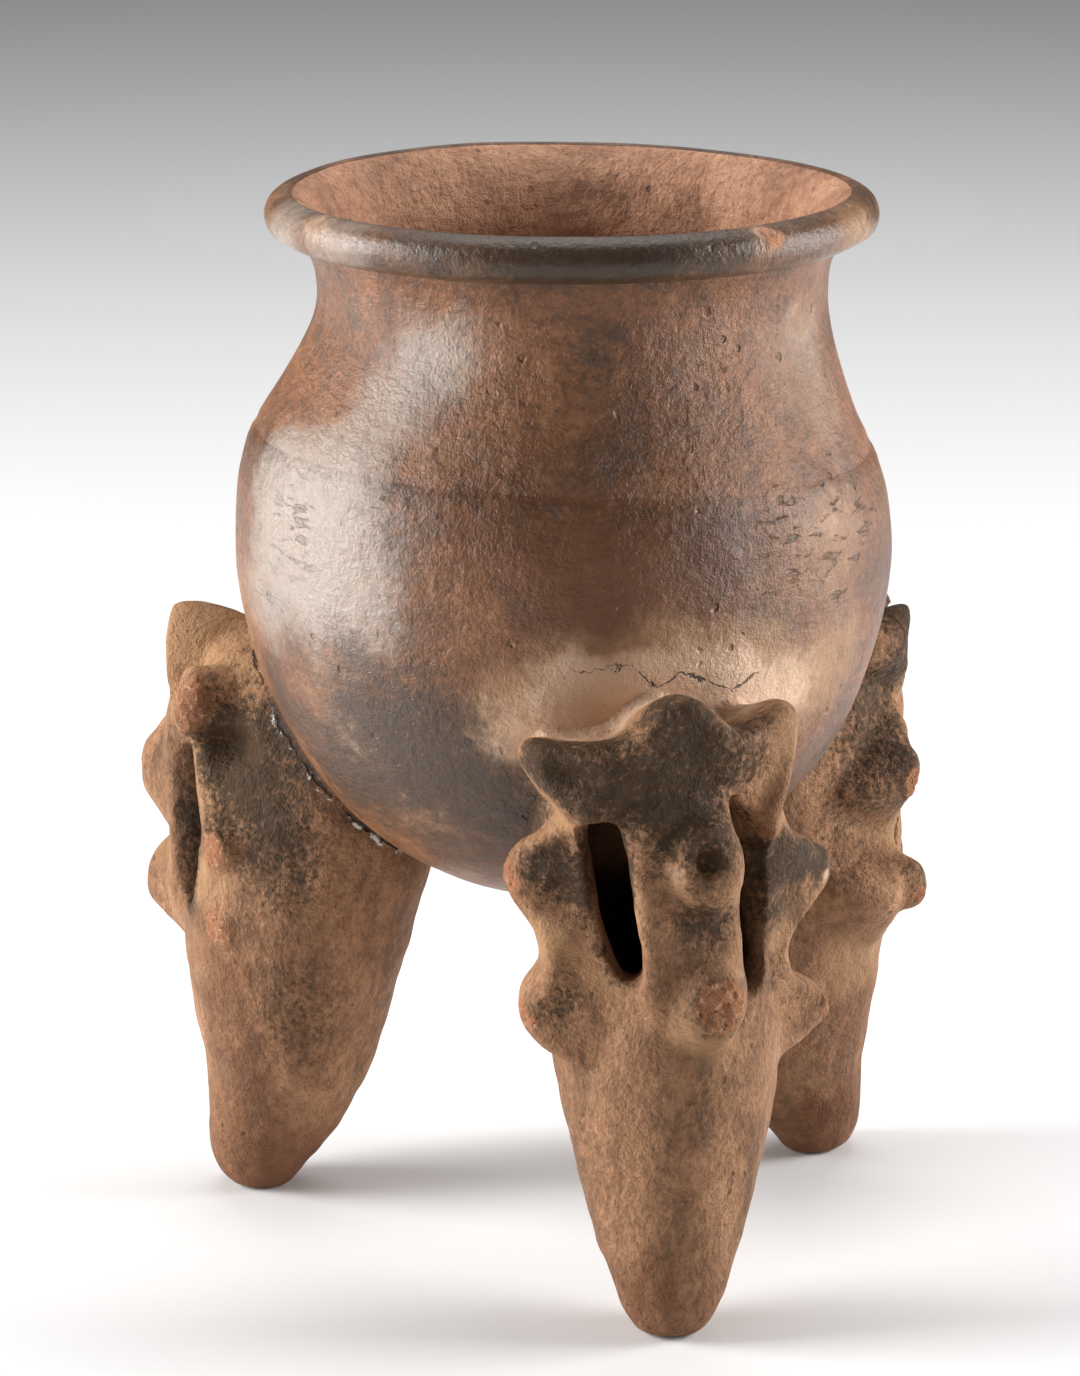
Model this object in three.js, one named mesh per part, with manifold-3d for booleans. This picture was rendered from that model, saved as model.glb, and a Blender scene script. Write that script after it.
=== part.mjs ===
// Tripod rattle vessel: a hand-built clay pot on three hollow legs that hold loose clay pellets.
// Units are millimetres, +Z is up, and the front leg points towards -Y.
// Each clay piece that the potter shaped by itself is its own closed solid.

import * as THREE from 'three';
import { mergeVertices } from 'three/addons/utils/BufferGeometryUtils.js';
import Module from 'manifold-3d';

const wasm = await Module();
wasm.setup();

// Fits between pieces
const seam = 0.3;
const pelletClearance = 0.6;

// Pot: heights are built up from the ground, stage by stage
const bowlLift = 67.2;
const bowlDepth = 66.2;
const ridgeRise = 21.6;
const shoulderRise = 13;
const neckRise = 12.5;
const flareRise = 11.5;
const rimHeight = 7.7;

// Pot: the belly's and the rim's outside radii, and the clay's thickness
const bellyRadius = 60.6;
const rimRadius = 56.1;
const potWall = 5.5;
const bowlFloor = 6;

// Pot: the ridge draws in from the belly. The roll of the rim stands out over the flare, the flare
// over the neck, and the shoulder spreads again below the neck.
const ridgeDraw = 3.6;
const rimOverhang = 6.3;
const flareSpread = 3.1;
const shoulderSpread = 3.7;
const rimCrownInset = 4.5;

// Pot: how far the bowl's curve stays level at the bottom, and upright below and above the belly
const bottomReach = 27.3;
const sideReach = 40;
const upperSideReach = 9.7;

// Pot: the belly sits a little to the left of the mouth
const bellyShift = 1.5;

// Rim: how far the roll draws in at its edges, how high those edges are, and its slope into the throat
const rimEdgeDraw = 1.4;
const rimLowerEdge = 0.8;
const rimUpperEdge = 1;
const rimThroatInset = 3;
const rimThroatRise = 1.2;

// Legs: clay thickness, and the rattle chamber's round bottom
const legWall = 5;
const chamberFloor = 27;
const chamberBottomRadius = 12.5;
const chamberBottomAngles = [20, 45, 68, 90];
const chamberTipHalf = 1;
const legTipHalf = 2;

// Legs: the height from which a leg with a higher crest is stretched, and how high it sways sideways
const stretchFrom = 38;
const swayHeight = 90;

// Strap between the two sound slits
const strapHalfWidth = 9.4;
const strapHalfThickness = 4.6;
const strapSink = 0.2;
const strapBelowNub = 9;
const strapBelowCrest = 12;
const strapEndTaper = 0.7;
const strapLowerEnd = 2;
const strapUpperEnd = 1.5;
const strapEndHalfThickness = 1;
const strapEndHalfWidth = 3;

// Sound slits on each side of the strap
const slitGap = 0.4;
const slitWidth = 5.6;
const slitInnerReach = 4;
const slitOuterReach = 9;
const slitAboveLowerNub = 1;
const slitAboveUpperNub = 6;

// Spikes pinched out of the leg's sides
const spikeBearing = 68;
const spikeBaseRadius = 10.4;
const spikeTipRadius = 3;
const spikeLength = 10.5;
const brokenSpikeLength = 3.5;

// Every pinched point: how hollow its flank is, where along it, and its round tip, as shares of
// the tip's radius across and down from the end
const flankHollow = 1.7;
const flankStops = [0.3, 0.62];
const tipRound = [{ across: 0.94, down: 0.7 }, { across: 0.5, down: 0.12 }];

// Nubs on the strap
const nubBaseRadius = 6.6;
const nubTipRadius = 3.2;
const upperNubLength = 6.8;
const lowerNubLength = 5;

// Crest over the leg's top: a thick upright hood. Seen from in front it has a middle lobe, an arm
// on each side and a foot that runs down to the strap.
const lobeBaseRadius = 9.8;
const lobeTipRadius = 4.8;
const lobeShoulderDrop = 2.5;
const sideLobeTipRadius = 3.2;
const sideLobeThickness = 9;
const sideLobeUnderDraw = 2;
const crestFootDrop = 16;
const crestFootHalfWidth = 19;
const crestFootStops = [{ across: 0.5, down: 1 }, { across: 0.85, down: 0.9 }, { across: 1, down: 0.55 }];
const crestOutlineSteps = 36;

// Crest: how far it reaches in from its face, how it narrows from there to the face, step by step,
// and how its face rounds and leans back towards the foot
const crestReachIn = 28;
const crestFaceMargin = 1;
const crestTaper = [0.74, 0.84, 0.94, 1, 1];
const crestFaceHalfDepth = 36;
const crestFaceSteps = [-24, -17, -13, -9, -5, 0, 22];
const crestLeanBelow = 3;
const crestLeanRadius = 23;

// Pellets: two in each leg, wider than a slit, so that they stay inside
const pelletRadius = 4.2;
const pelletSpread = 4.6;

// Facets
const potSegments = 40;
const legSegments = 20;
const spikeSegments = 10;
const pelletSegments = 12;
const bowlSideSteps = 9;
const bowlTopSteps = 3;
const shoulderSteps = 7;
const rimSteps = 11;
const slitArcSteps = 6;
const weldDistance = 1e-4;

// Leg outline from the ground up: height, how far the centre line stands inside the belly's
// circle, half depth (inwards and outwards) and half width (sideways)
const footFlat = 5.5;
const legOutline = [
  { height: 0, inward: -3.2, depth: footFlat, width: footFlat },
  { height: 3, inward: -3.3, depth: 8, width: 7.7 },
  { height: 8, inward: -1.9, depth: 11, width: 10.2 },
  { height: 16, inward: 0.8, depth: 13.8, width: 12.8 },
  { height: 26, inward: 3.0, depth: 16.2, width: 15.5 },
  { height: 38, inward: 3.8, depth: 19.4, width: 18.6 },
  { height: 50, inward: 5.0, depth: 21.7, width: 21 },
  { height: 62, inward: 6.7, depth: 23.7, width: 22.6 },
  { height: 76, inward: 9.3, depth: 25, width: 23 },
  { height: 90, inward: 10.8, depth: 25.2, width: 22 },
  { height: 99, inward: 10.1, depth: 24.4, width: 20.6 },
  { height: 105, inward: 8.8, depth: 23, width: 18.8 },
  { height: 110, inward: 6.1, depth: 18, width: 14.8 },
];
const outlineCrest = 106;
const legTop = { height: 112, inward: 4.6 };

// The three legs. Each is shaped by hand, so each has its own bearing round the pot, its inset
// from the outline above, its sideways sway, the heights of its crest and its two rows of spikes,
// how far the strap's nubs stand above those rows, how far the rows drop to the right, and the side
// on which the spikes have broken off. Its crest has its own middle, how far its face stands out of
// the leg and how broad it rounds, the middle lobe's rise above the crest's row, and for each side
// lobe its reach, its rise and the height of the saddle beside it.
const legs = [
  {
    name: 'front', bearing: 0, inset: 2.6, sway: 2,
    crestRow: 108, upperRow: 90, lowerRow: 63, nubRise: 4.5, rowSlope: 2.5, broken: 'none',
    crest: { middle: -3, proud: 8, faceHalfWidth: 39, lobe: 15.5 },
    leftLobe: { reach: 26.6, rise: 7.4, saddle: 8 },
    rightLobe: { reach: 23.4, rise: 11.6, saddle: 8.2 },
  },
  {
    name: 'left', bearing: -123.4, inset: 0.7, sway: 0,
    crestRow: 106, upperRow: 84, lowerRow: 60, nubRise: 1, rowSlope: 0, broken: 'right',
    crest: { middle: 0, proud: 5.7, faceHalfWidth: 30, lobe: 10.2 },
    leftLobe: { reach: 26, rise: 5, saddle: 4.4 },
    rightLobe: { reach: 18.4, rise: -1, saddle: 3.2 },
  },
  {
    name: 'right', bearing: 111.2, inset: 2, sway: 3,
    crestRow: 104, upperRow: 81, lowerRow: 57, nubRise: 1, rowSlope: 0, broken: 'none',
    crest: { middle: 0, proud: 4.1, faceHalfWidth: 30, lobe: 10.2 },
    leftLobe: { reach: 22, rise: 8, saddle: 6.2 },
    rightLobe: { reach: 23.4, rise: 6, saddle: 4.8 },
  },
];

const ridgeRadius = bellyRadius - ridgeDraw;
const flareRadius = rimRadius - rimOverhang;
const neckRadius = flareRadius - flareSpread;
const shoulderRadius = neckRadius + shoulderSpread;
const rimCrownRadius = rimRadius - rimCrownInset;

const bellyHeight = bowlLift + bowlDepth;
const ridgeHeight = bellyHeight + ridgeRise;
const shoulderHeight = ridgeHeight + shoulderRise;
const neckHeight = shoulderHeight + neckRise;
const flareHeight = neckHeight + flareRise;

// Closed mesh to solid, and back
function toSolid(geometry) {
  const bare = geometry.clone();
  bare.deleteAttribute('normal');
  bare.deleteAttribute('uv');
  const merged = mergeVertices(bare, weldDistance);
  const index = merged.index.array;
  const triangles = [];
  for (let i = 0; i < index.length; i += 3) {
    const [a, b, c] = [index[i], index[i + 1], index[i + 2]];
    if (a !== b && b !== c && c !== a) triangles.push(a, b, c);
  }
  return new wasm.Manifold(new wasm.Mesh({
    numProp: 3,
    vertProperties: new Float32Array(merged.attributes.position.array),
    triVerts: new Uint32Array(triangles),
  }));
}

function toGeometry(solid) {
  const mesh = solid.getMesh();
  const geometry = new THREE.BufferGeometry();
  geometry.setAttribute('position', new THREE.BufferAttribute(mesh.vertProperties, 3));
  geometry.setIndex(new THREE.BufferAttribute(mesh.triVerts, 1));
  geometry.computeVertexNormals();
  return geometry;
}

// A profile of [radius, height] points turned round the Z axis, starting at -Y
function turned(profile, segments) {
  const points = profile.map(([radius, height]) => new THREE.Vector2(radius, height));
  return new THREE.LatheGeometry(points, segments).rotateX(Math.PI / 2);
}

// Outside of the pot from the bowl's bottom to the ridge, then from the ridge to the rim
function bowlOutside(grow) {
  const side = new THREE.CubicBezierCurve(
    new THREE.Vector2(0, bowlLift - grow),
    new THREE.Vector2(bottomReach, bowlLift - grow),
    new THREE.Vector2(bellyRadius + grow, bellyHeight - sideReach),
    new THREE.Vector2(bellyRadius + grow, bellyHeight),
  );
  const top = new THREE.QuadraticBezierCurve(
    new THREE.Vector2(bellyRadius + grow, bellyHeight),
    new THREE.Vector2(bellyRadius + grow, bellyHeight + upperSideReach),
    new THREE.Vector2(ridgeRadius + grow, ridgeHeight),
  );
  const sidePoints = side.getPoints(bowlSideSteps);
  const topPoints = top.getPoints(bowlTopSteps).slice(1);
  return [...sidePoints, ...topPoints].map((point) => [point.x, point.y]);
}

function shoulderOutside(grow) {
  const line = new THREE.SplineCurve([
    new THREE.Vector2(ridgeRadius + grow, ridgeHeight),
    new THREE.Vector2(shoulderRadius + grow, shoulderHeight),
    new THREE.Vector2(neckRadius + grow, neckHeight),
    new THREE.Vector2(flareRadius + grow, flareHeight),
  ]);
  return line.getPoints(shoulderSteps).map((point) => [point.x, point.y]);
}

// The belly is shifted whole, and the upper wall leans back to the mouth's axis
function shiftedBelly(geometry) {
  return geometry.translate(-bellyShift, 0, 0);
}

function leaningWall(geometry) {
  const position = geometry.attributes.position;
  for (let i = 0; i < position.count; i += 1) {
    const rise = (position.getZ(i) - ridgeHeight) / (neckHeight - ridgeHeight);
    const lean = bellyShift * (1 - THREE.MathUtils.smoothstep(rise, 0, 1));
    position.setX(i, position.getX(i) - lean);
  }
  return geometry;
}

function bowl() {
  const outside = bowlOutside(0);
  const inside = bowlOutside(-potWall).reverse();
  const rimOfBowl = ridgeHeight - seam;
  outside[outside.length - 1][1] = rimOfBowl;
  inside[0][1] = rimOfBowl;
  inside[inside.length - 1][1] = bowlLift + bowlFloor;
  return shiftedBelly(turned([...outside, ...inside], potSegments));
}

function upperWall() {
  const outside = shoulderOutside(0);
  const inside = shoulderOutside(-potWall).reverse();
  return leaningWall(turned([...outside, ...inside, outside[0]], potSegments));
}

function rimCoil() {
  const base = flareHeight + seam;
  const top = base + rimHeight;
  const middle = base + rimHeight * 0.5;
  const section = new THREE.SplineCurve([
    new THREE.Vector2(flareRadius + seam, base),
    new THREE.Vector2(rimRadius - rimEdgeDraw, base + rimLowerEdge),
    new THREE.Vector2(rimRadius, middle),
    new THREE.Vector2(rimRadius - rimEdgeDraw, top - rimUpperEdge),
    new THREE.Vector2(rimCrownRadius, top),
    new THREE.Vector2(flareRadius - rimThroatInset, middle + rimThroatRise),
    new THREE.Vector2(flareRadius - potWall, base),
  ]);
  const points = section.getPoints(rimSteps).map((point) => [point.x, Math.max(point.y, base)]);
  return turned([...points, points[0]], potSegments);
}

// A closed form with oval sections, level by level, reaching outwards along -Y
function loft(levels) {
  const first = levels[0];
  const last = levels[levels.length - 1];
  const closed = [{ ...first, depth: 0 }, ...levels, { ...last, depth: 0 }];
  const geometry = turned(closed.map((level) => [level.depth, level.height]), legSegments);
  const position = geometry.attributes.position;
  for (let i = 0; i < position.count; i += 1) {
    const level = closed[i % closed.length];
    const widening = level.depth > 0 ? level.width / level.depth : 1;
    position.setX(i, position.getX(i) * widening + level.sway);
    position.setY(i, position.getY(i) - level.centre);
  }
  return geometry;
}

// A leg's outline with its own inset and sway, stretched so that its top carries its crest
function outlineOf(leg) {
  const stretch = leg.crestRow - outlineCrest;
  const place = (level) => {
    const share = THREE.MathUtils.smoothstep(level.height, stretchFrom, outlineCrest);
    const swing = Math.sin(Math.PI * Math.min(level.height / swayHeight, 1));
    return {
      ...level,
      height: level.height + stretch * share,
      centre: bellyRadius - level.inward - leg.inset,
      sway: leg.sway * swing,
    };
  };
  return {
    levels: legOutline.map(place),
    top: place(legTop),
    crestRow: leg.crestRow,
    upperNub: leg.upperRow + leg.nubRise,
    lowerNub: leg.lowerRow + leg.nubRise,
  };
}

function levelAt(levels, height) {
  const upper = Math.max(1, levels.findIndex((level) => level.height >= height));
  const [a, b] = [levels[upper - 1], levels[upper]];
  const share = (height - a.height) / (b.height - a.height);
  const mix = (key) => THREE.MathUtils.lerp(a[key], b[key], share);
  return {
    height,
    centre: mix('centre'),
    depth: mix('depth'),
    width: mix('width'),
    sway: mix('sway'),
  };
}

function legForm(outline, grow) {
  const body = outline.levels.map((level) =>
    ({ ...level, depth: level.depth + grow, width: level.width + grow }));
  return loft([...body, {
    ...outline.top,
    height: outline.top.height + grow,
    depth: legTipHalf,
    width: legTipHalf,
  }]);
}

// The rattle chamber: a round bottom that widens to the leg's own section less its wall
function chamberForm(outline) {
  const bottomCentre = chamberFloor + chamberBottomRadius;
  const bottom = chamberBottomAngles.map((degrees) => {
    const angle = THREE.MathUtils.degToRad(degrees);
    const radius = chamberBottomRadius * Math.sin(angle);
    const height = bottomCentre - chamberBottomRadius * Math.cos(angle);
    const { centre, sway } = levelAt(outline.levels, bottomCentre);
    return { height, centre, sway, depth: radius, width: radius };
  });
  const clearOfBottom = (level) => level.height > bottomCentre + legWall;
  const sides = outline.levels.filter(clearOfBottom).map((level) => ({
    ...level,
    height: Math.min(level.height, outline.top.height - legWall),
    depth: level.depth - legWall,
    width: level.width - legWall,
  }));
  const tip = { ...bottom[0], height: chamberFloor, depth: chamberTipHalf, width: chamberTipHalf };
  return loft([tip, ...bottom, ...sides.slice(0, -1)]);
}

function strapForm(outline, grow) {
  const { lowerNub, upperNub } = outline;
  const heights = [
    lowerNub - strapBelowNub,
    lowerNub,
    (lowerNub + upperNub) / 2,
    upperNub,
    outline.crestRow - strapBelowCrest,
  ];
  const middle = heights.map((height, i) => {
    const level = levelAt(outline.levels, height);
    const taper = i === 0 || i === heights.length - 1 ? strapEndTaper : 1;
    return {
      ...level,
      centre: level.centre + level.depth - strapSink,
      depth: strapHalfThickness * taper + grow,
      width: strapHalfWidth * taper + grow,
    };
  });
  const ending = (level, rise) => ({
    ...level,
    height: level.height + rise,
    depth: strapEndHalfThickness,
    width: strapEndHalfWidth,
  });
  const start = ending(middle[0], -strapLowerEnd);
  const end = ending(middle[middle.length - 1], strapUpperEnd);
  return loft([start, ...middle, end]);
}

// A slit cutter with round ends, cut straight in along the leg's own outward line
function slitForm(outline, side) {
  const half = slitWidth / 2;
  const from = outline.lowerNub + slitAboveLowerNub + half;
  const to = outline.upperNub + slitAboveUpperNub - half;
  const shape = new THREE.Shape();
  shape.absarc(0, from, half, Math.PI, 2 * Math.PI, false);
  shape.absarc(0, to, half, 0, Math.PI, false);
  const front = levelAt(outline.levels, (from + to) / 2);
  const depth = front.depth - slitInnerReach + slitOuterReach;
  const across = strapHalfWidth + slitGap + half;
  return new THREE.ExtrudeGeometry(shape, { depth, bevelEnabled: false, curveSegments: slitArcSteps })
    .rotateX(Math.PI / 2)
    .translate(front.sway + side * across, -front.centre - slitInnerReach, 0);
}

// A pinched point: wide foot, hollow flank and round tip, level from its root along a bearing
function pinchedPoint({ root, bearing, length, baseRadius, tipRadius, bury = legWall }) {
  const flank = (stop) =>
    [THREE.MathUtils.lerp(tipRadius, baseRadius, (1 - stop) ** flankHollow), length * stop];
  const profile = [
    [0, -bury],
    [baseRadius, -bury],
    [baseRadius, 0],
    ...flankStops.map(flank),
    ...tipRound.map(({ across, down }) => [tipRadius * across, length - tipRadius * down]),
    [0, length],
  ];
  const angle = THREE.MathUtils.degToRad(bearing);
  const direction = new THREE.Vector3(Math.sin(angle), -Math.cos(angle), 0);
  const up = new THREE.Vector3(0, 0, 1);
  const turn = new THREE.Quaternion().setFromUnitVectors(up, direction);
  return turned(profile, spikeSegments).applyQuaternion(turn).translate(root.x, root.y, root.z);
}

// A point on the leg's outside at a height and a bearing from straight outwards
function onLeg(outline, height, bearing) {
  const level = levelAt(outline.levels, height);
  const angle = THREE.MathUtils.degToRad(bearing);
  return new THREE.Vector3(
    level.sway + level.width * Math.sin(angle),
    -level.centre - level.depth * Math.cos(angle),
    level.height,
  );
}

function sideSpike(outline, side, row, length) {
  return pinchedPoint({
    root: onLeg(outline, row, side * spikeBearing),
    bearing: side * spikeBearing,
    length,
    baseRadius: spikeBaseRadius,
    tipRadius: spikeTipRadius,
  });
}

function strapNub(outline, row, length) {
  const root = onLeg(outline, row, 0);
  root.y -= strapHalfThickness - strapSink;
  return pinchedPoint({
    root,
    bearing: 0,
    length,
    baseRadius: nubBaseRadius,
    tipRadius: nubTipRadius,
    bury: strapHalfThickness,
  });
}

// The crest's outline from in front, from the middle of its foot round by the right side lobe
function crestOutline(leg, grow) {
  const lobeSide = (side, lobe) => [
    ...crestFootStops.map(({ across, down }) =>
      [side * crestFootHalfWidth * across, -crestFootDrop * down]),
    [side * (lobe.reach - sideLobeUnderDraw), lobe.rise - sideLobeThickness],
    [side * lobe.reach, lobe.rise - sideLobeTipRadius],
    [side * (lobe.reach - sideLobeTipRadius), lobe.rise],
    [side * lobeBaseRadius, lobe.saddle],
    [side * lobeTipRadius, leg.crest.lobe - lobeShoulderDrop],
  ];
  const foot = [0, -crestFootDrop];
  const points = [
    foot, ...lobeSide(1, leg.rightLobe), [0, leg.crest.lobe], ...lobeSide(-1, leg.leftLobe).reverse(), foot,
  ];
  const grown = points.map(([across, above]) =>
    new THREE.Vector2(across + Math.sign(across) * grow, above + Math.sign(above) * grow));
  return new THREE.Shape(new THREE.SplineCurve(grown).getPoints(crestOutlineSteps).slice(1));
}

// The outline drawn out along the leg's outward line, and cut by the crest's round face
function crestForm(outline, leg, grow) {
  const { crest } = leg;
  const row = levelAt(outline.levels, outline.crestRow);
  const face = row.centre + row.depth + crest.proud;
  const depth = crestReachIn + crestFaceMargin;
  const steps = crestTaper.length - 1;
  const slab = new THREE.ExtrudeGeometry(crestOutline(leg, grow), { depth, steps, bevelEnabled: false });
  const position = slab.attributes.position;
  for (let i = 0; i < position.count; i += 1) {
    const size = crestTaper[Math.round((position.getZ(i) / depth) * steps)];
    position.setX(i, position.getX(i) * size);
    position.setY(i, position.getY(i) * size);
  }
  slab.rotateX(Math.PI / 2).translate(crest.middle, crestReachIn - face, outline.crestRow);
  const round = crestFaceSteps.map((above) => {
    const lower = Math.max(-above - crestLeanBelow, 0);
    return {
      height: outline.crestRow + above,
      centre: face - crestFaceHalfDepth - lower ** 2 / (2 * crestLeanRadius),
      depth: crestFaceHalfDepth + grow,
      width: crest.faceHalfWidth + grow,
      sway: crest.middle,
    };
  });
  return toSolid(slab).intersect(toSolid(loft(round)));
}

// Where a pellet lies: against the chamber's round bottom, beside its neighbour
function pelletSeat(outline, side) {
  const bottomCentre = chamberFloor + chamberBottomRadius;
  const reach = chamberBottomRadius - pelletRadius - pelletClearance;
  const drop = Math.sqrt(reach * reach - pelletSpread * pelletSpread);
  const { centre, sway } = levelAt(outline.levels, bottomCentre);
  return new THREE.Vector3(sway + side * pelletSpread, -centre, bottomCentre - drop);
}

// Clay colours
function clay(red, green, blue, roughness) {
  return new THREE.MeshStandardMaterial({
    color: new THREE.Color(red, green, blue),
    roughness,
    metalness: 0,
  });
}
const bowlClay = clay(0.36, 0.25, 0.19, 0.55);
const wallClay = clay(0.45, 0.3, 0.22, 0.62);
const rimClay = clay(0.3, 0.22, 0.18, 0.45);
const legClay = clay(0.44, 0.31, 0.22, 0.75);
const nubClay = clay(0.27, 0.22, 0.18, 0.7);
const pelletClay = clay(0.5, 0.33, 0.24, 0.9);

function piece(name, geometry, material) {
  const mesh = new THREE.Mesh(geometry, material);
  mesh.name = name;
  return mesh;
}

// One leg, built facing -Y and turned to its bearing. Every piece on it is cut by what it sits on.
function buildLeg(leg) {
  const group = new THREE.Group();
  group.rotation.z = THREE.MathUtils.degToRad(leg.bearing);
  const outline = outlineOf(leg);
  const bowlSeat = shiftedBelly(turned([...bowlOutside(seam), [0, ridgeHeight]], potSegments))
    .rotateZ(-group.rotation.z);
  const bowlCutter = toSolid(bowlSeat);
  const legCutter = toSolid(legForm(outline, seam));
  const strapCutter = toSolid(strapForm(outline, seam));
  const crestCutter = crestForm(outline, leg, seam);
  const slits = [-1, 1].map((side) => toSolid(slitForm(outline, side)));

  let shell = toSolid(legForm(outline, 0)).subtract(toSolid(chamberForm(outline)));
  shell = shell.subtract(bowlCutter);
  slits.forEach((slit) => { shell = shell.subtract(slit); });
  const add = (name, solid, material) =>
    group.add(piece(`${leg.name}_${name}`, toGeometry(solid), material));

  add('leg_shell', shell, legClay);
  let crest = crestForm(outline, leg, 0).subtract(legCutter).subtract(bowlCutter);
  slits.forEach((slit) => { crest = crest.subtract(slit); });
  add('crest', crest, nubClay);
  const strap = toSolid(strapForm(outline, 0));
  add('strap', strap.subtract(legCutter).subtract(crestCutter).subtract(bowlCutter), legClay);

  [['left', -1], ['right', 1]].forEach(([sideName, side]) => {
    const length = leg.broken === sideName ? brokenSpikeLength : spikeLength;
    [['upper', leg.upperRow], ['lower', leg.lowerRow]].forEach(([rowName, row]) => {
      const spike = toSolid(sideSpike(outline, side, row - side * leg.rowSlope, length));
      add(
        `${rowName}_spike_${sideName}`,
        spike.subtract(legCutter).subtract(crestCutter).subtract(bowlCutter),
        nubClay,
      );
    });
    const pellet = new THREE.SphereGeometry(pelletRadius, pelletSegments, pelletSegments / 2);
    const ball = piece(`${leg.name}_pellet_${sideName}`, toGeometry(toSolid(pellet)), pelletClay);
    ball.position.copy(pelletSeat(outline, side));
    group.add(ball);
  });

  const nubs = [['upper', outline.upperNub, upperNubLength], ['lower', outline.lowerNub, lowerNubLength]];
  nubs.forEach(([rowName, row, length]) => {
    const nub = toSolid(strapNub(outline, row, length));
    add(`${rowName}_nub`, nub.subtract(strapCutter).subtract(legCutter).subtract(crestCutter), nubClay);
  });
  return group;
}

const vessel = new THREE.Group();
vessel.add(piece('bowl', toGeometry(toSolid(bowl())), bowlClay));
vessel.add(piece('upper_wall', toGeometry(toSolid(upperWall())), wallClay));
vessel.add(piece('rim_coil', toGeometry(toSolid(rimCoil())), rimClay));
legs.forEach((leg) => vessel.add(buildLeg(leg)));

// The origin is on the ground under the middle of the whole object
vessel.updateMatrixWorld(true);
const middle = new THREE.Box3().setFromObject(vessel, true).getCenter(new THREE.Vector3());
vessel.position.set(-middle.x, -middle.y, 0);

export default vessel;
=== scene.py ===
"""Tripod rattle vessel: the fired, smoke-darkened clay of a hand-built pot on three hollow legs.

Shapes are drawn in millimetres and made metres once, when a piece is finished. A leg is drawn in
its own axes: x outwards from the mouth's axis, y to its right, z up.
"""

from math import cos, pi, radians, sin

import bmesh
import bpy
import numpy as np
from mathutils import Matrix, Vector, noise


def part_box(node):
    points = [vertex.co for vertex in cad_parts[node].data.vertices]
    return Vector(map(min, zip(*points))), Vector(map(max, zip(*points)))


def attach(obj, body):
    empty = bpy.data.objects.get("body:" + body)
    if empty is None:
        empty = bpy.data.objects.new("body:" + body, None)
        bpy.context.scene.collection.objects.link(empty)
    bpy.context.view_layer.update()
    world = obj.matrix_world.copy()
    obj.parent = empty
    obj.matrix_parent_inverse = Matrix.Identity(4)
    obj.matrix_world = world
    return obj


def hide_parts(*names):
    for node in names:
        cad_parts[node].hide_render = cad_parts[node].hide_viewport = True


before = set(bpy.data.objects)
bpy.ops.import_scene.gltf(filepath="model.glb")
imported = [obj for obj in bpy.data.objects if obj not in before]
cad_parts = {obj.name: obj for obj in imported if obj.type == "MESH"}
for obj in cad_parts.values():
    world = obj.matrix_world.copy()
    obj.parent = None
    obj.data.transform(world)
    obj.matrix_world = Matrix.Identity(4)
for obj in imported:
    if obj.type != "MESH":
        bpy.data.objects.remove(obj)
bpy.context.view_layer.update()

MM = 0.001
UP = Vector((0, 0, 1))

# The pot's places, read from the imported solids
bowl_low, bowl_high = (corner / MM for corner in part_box("bowl"))
rim_low, rim_high = (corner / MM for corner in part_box("rim_coil"))
mouth = (rim_low + rim_high) / 2
belly = (bowl_low + bowl_high) / 2
belly_radius = (bowl_high.x - bowl_low.x) / 2
lean = mouth.x - belly.x

# The ridge between bowl and upper wall, and the neck, up to which the wall leans back
ridge_height = 155
neck_height = 180.5

# The pot's outside and inside: radius and height at each change of the curve
BOWL_LINE = [
    (0, 67.2), (8.2, 67.7), (16.2, 69.2), (24.4, 72.1), (32.2, 76.6), (39.3, 82.6), (46.2, 90.5),
    (51.9, 99.3), (56.3, 109.2), (59.2, 119.6), (60.4, 129), (60.5, 137.5), (59.6, 146.6), (57, 155),
]
WALL_LINE = [
    (57, 155), (54.2, 160), (51.6, 165), (49.2, 170.2), (47.4, 175.4), (46.7, 180.5), (47.2, 186),
    (48.9, 190.2), (49.8, 192),
]
RIM_LINE = [
    (49.9, 191.5), (52.8, 191.8), (55.3, 193.3), (56.1, 196), (55.1, 198.6), (52.6, 200), (51.2, 199.9),
    (50.4, 198.4), (49.7, 195.8), (49.3, 193),
]
WALL_INSIDE = [
    (51.7, 155), (49.3, 160), (46.8, 165), (44.6, 170.2), (42.9, 175.4), (42.2, 180.5), (42.4, 185.4),
    (43.5, 189.6), (45.1, 193.6), (47.3, 197), (49.9, 199.3), (51.4, 199.7), (52, 198.8), (51, 195.5),
]
pot_wall = 5.3
bowl_floor = 5.8
pot_steps = 320

# Where the upper wall's crown begins, inside the rim
wall_crown = 192.2

# Legs: bearing round the pot, inset, sway, and the height of the crest's row
LEGS = {
    "front": dict(bearing=0, inset=2.6, sway=2, crest=108),
    "left": dict(bearing=-123.4, inset=0.7, sway=0, crest=106),
    "right": dict(bearing=111.2, inset=2, sway=3, crest=104),
}

# A leg's outline: height, how far its centre line stands inside the belly, half depth, half width
LEG_OUTLINE = [
    (0, -3.2, 5.4, 5.4), (1.2, -3.3, 6.9, 6.7), (3, -3.3, 8.2, 7.9), (8, -1.9, 11.1, 10.3),
    (16, 0.8, 13.9, 12.9), (26, 3, 16.3, 15.6), (38, 3.8, 19.4, 18.6), (50, 5, 21.7, 20.6),
    (62, 6.7, 23.3, 21.4), (76, 9.3, 24.6, 21.6), (90, 10.8, 24.8, 20.8), (99, 10.1, 24, 19.6),
    (105, 8.8, 22.6, 17.8), (110, 6.1, 17.6, 14.4),
]
outline_crest = 106
stretch_from = 38
sway_height = 90

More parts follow.
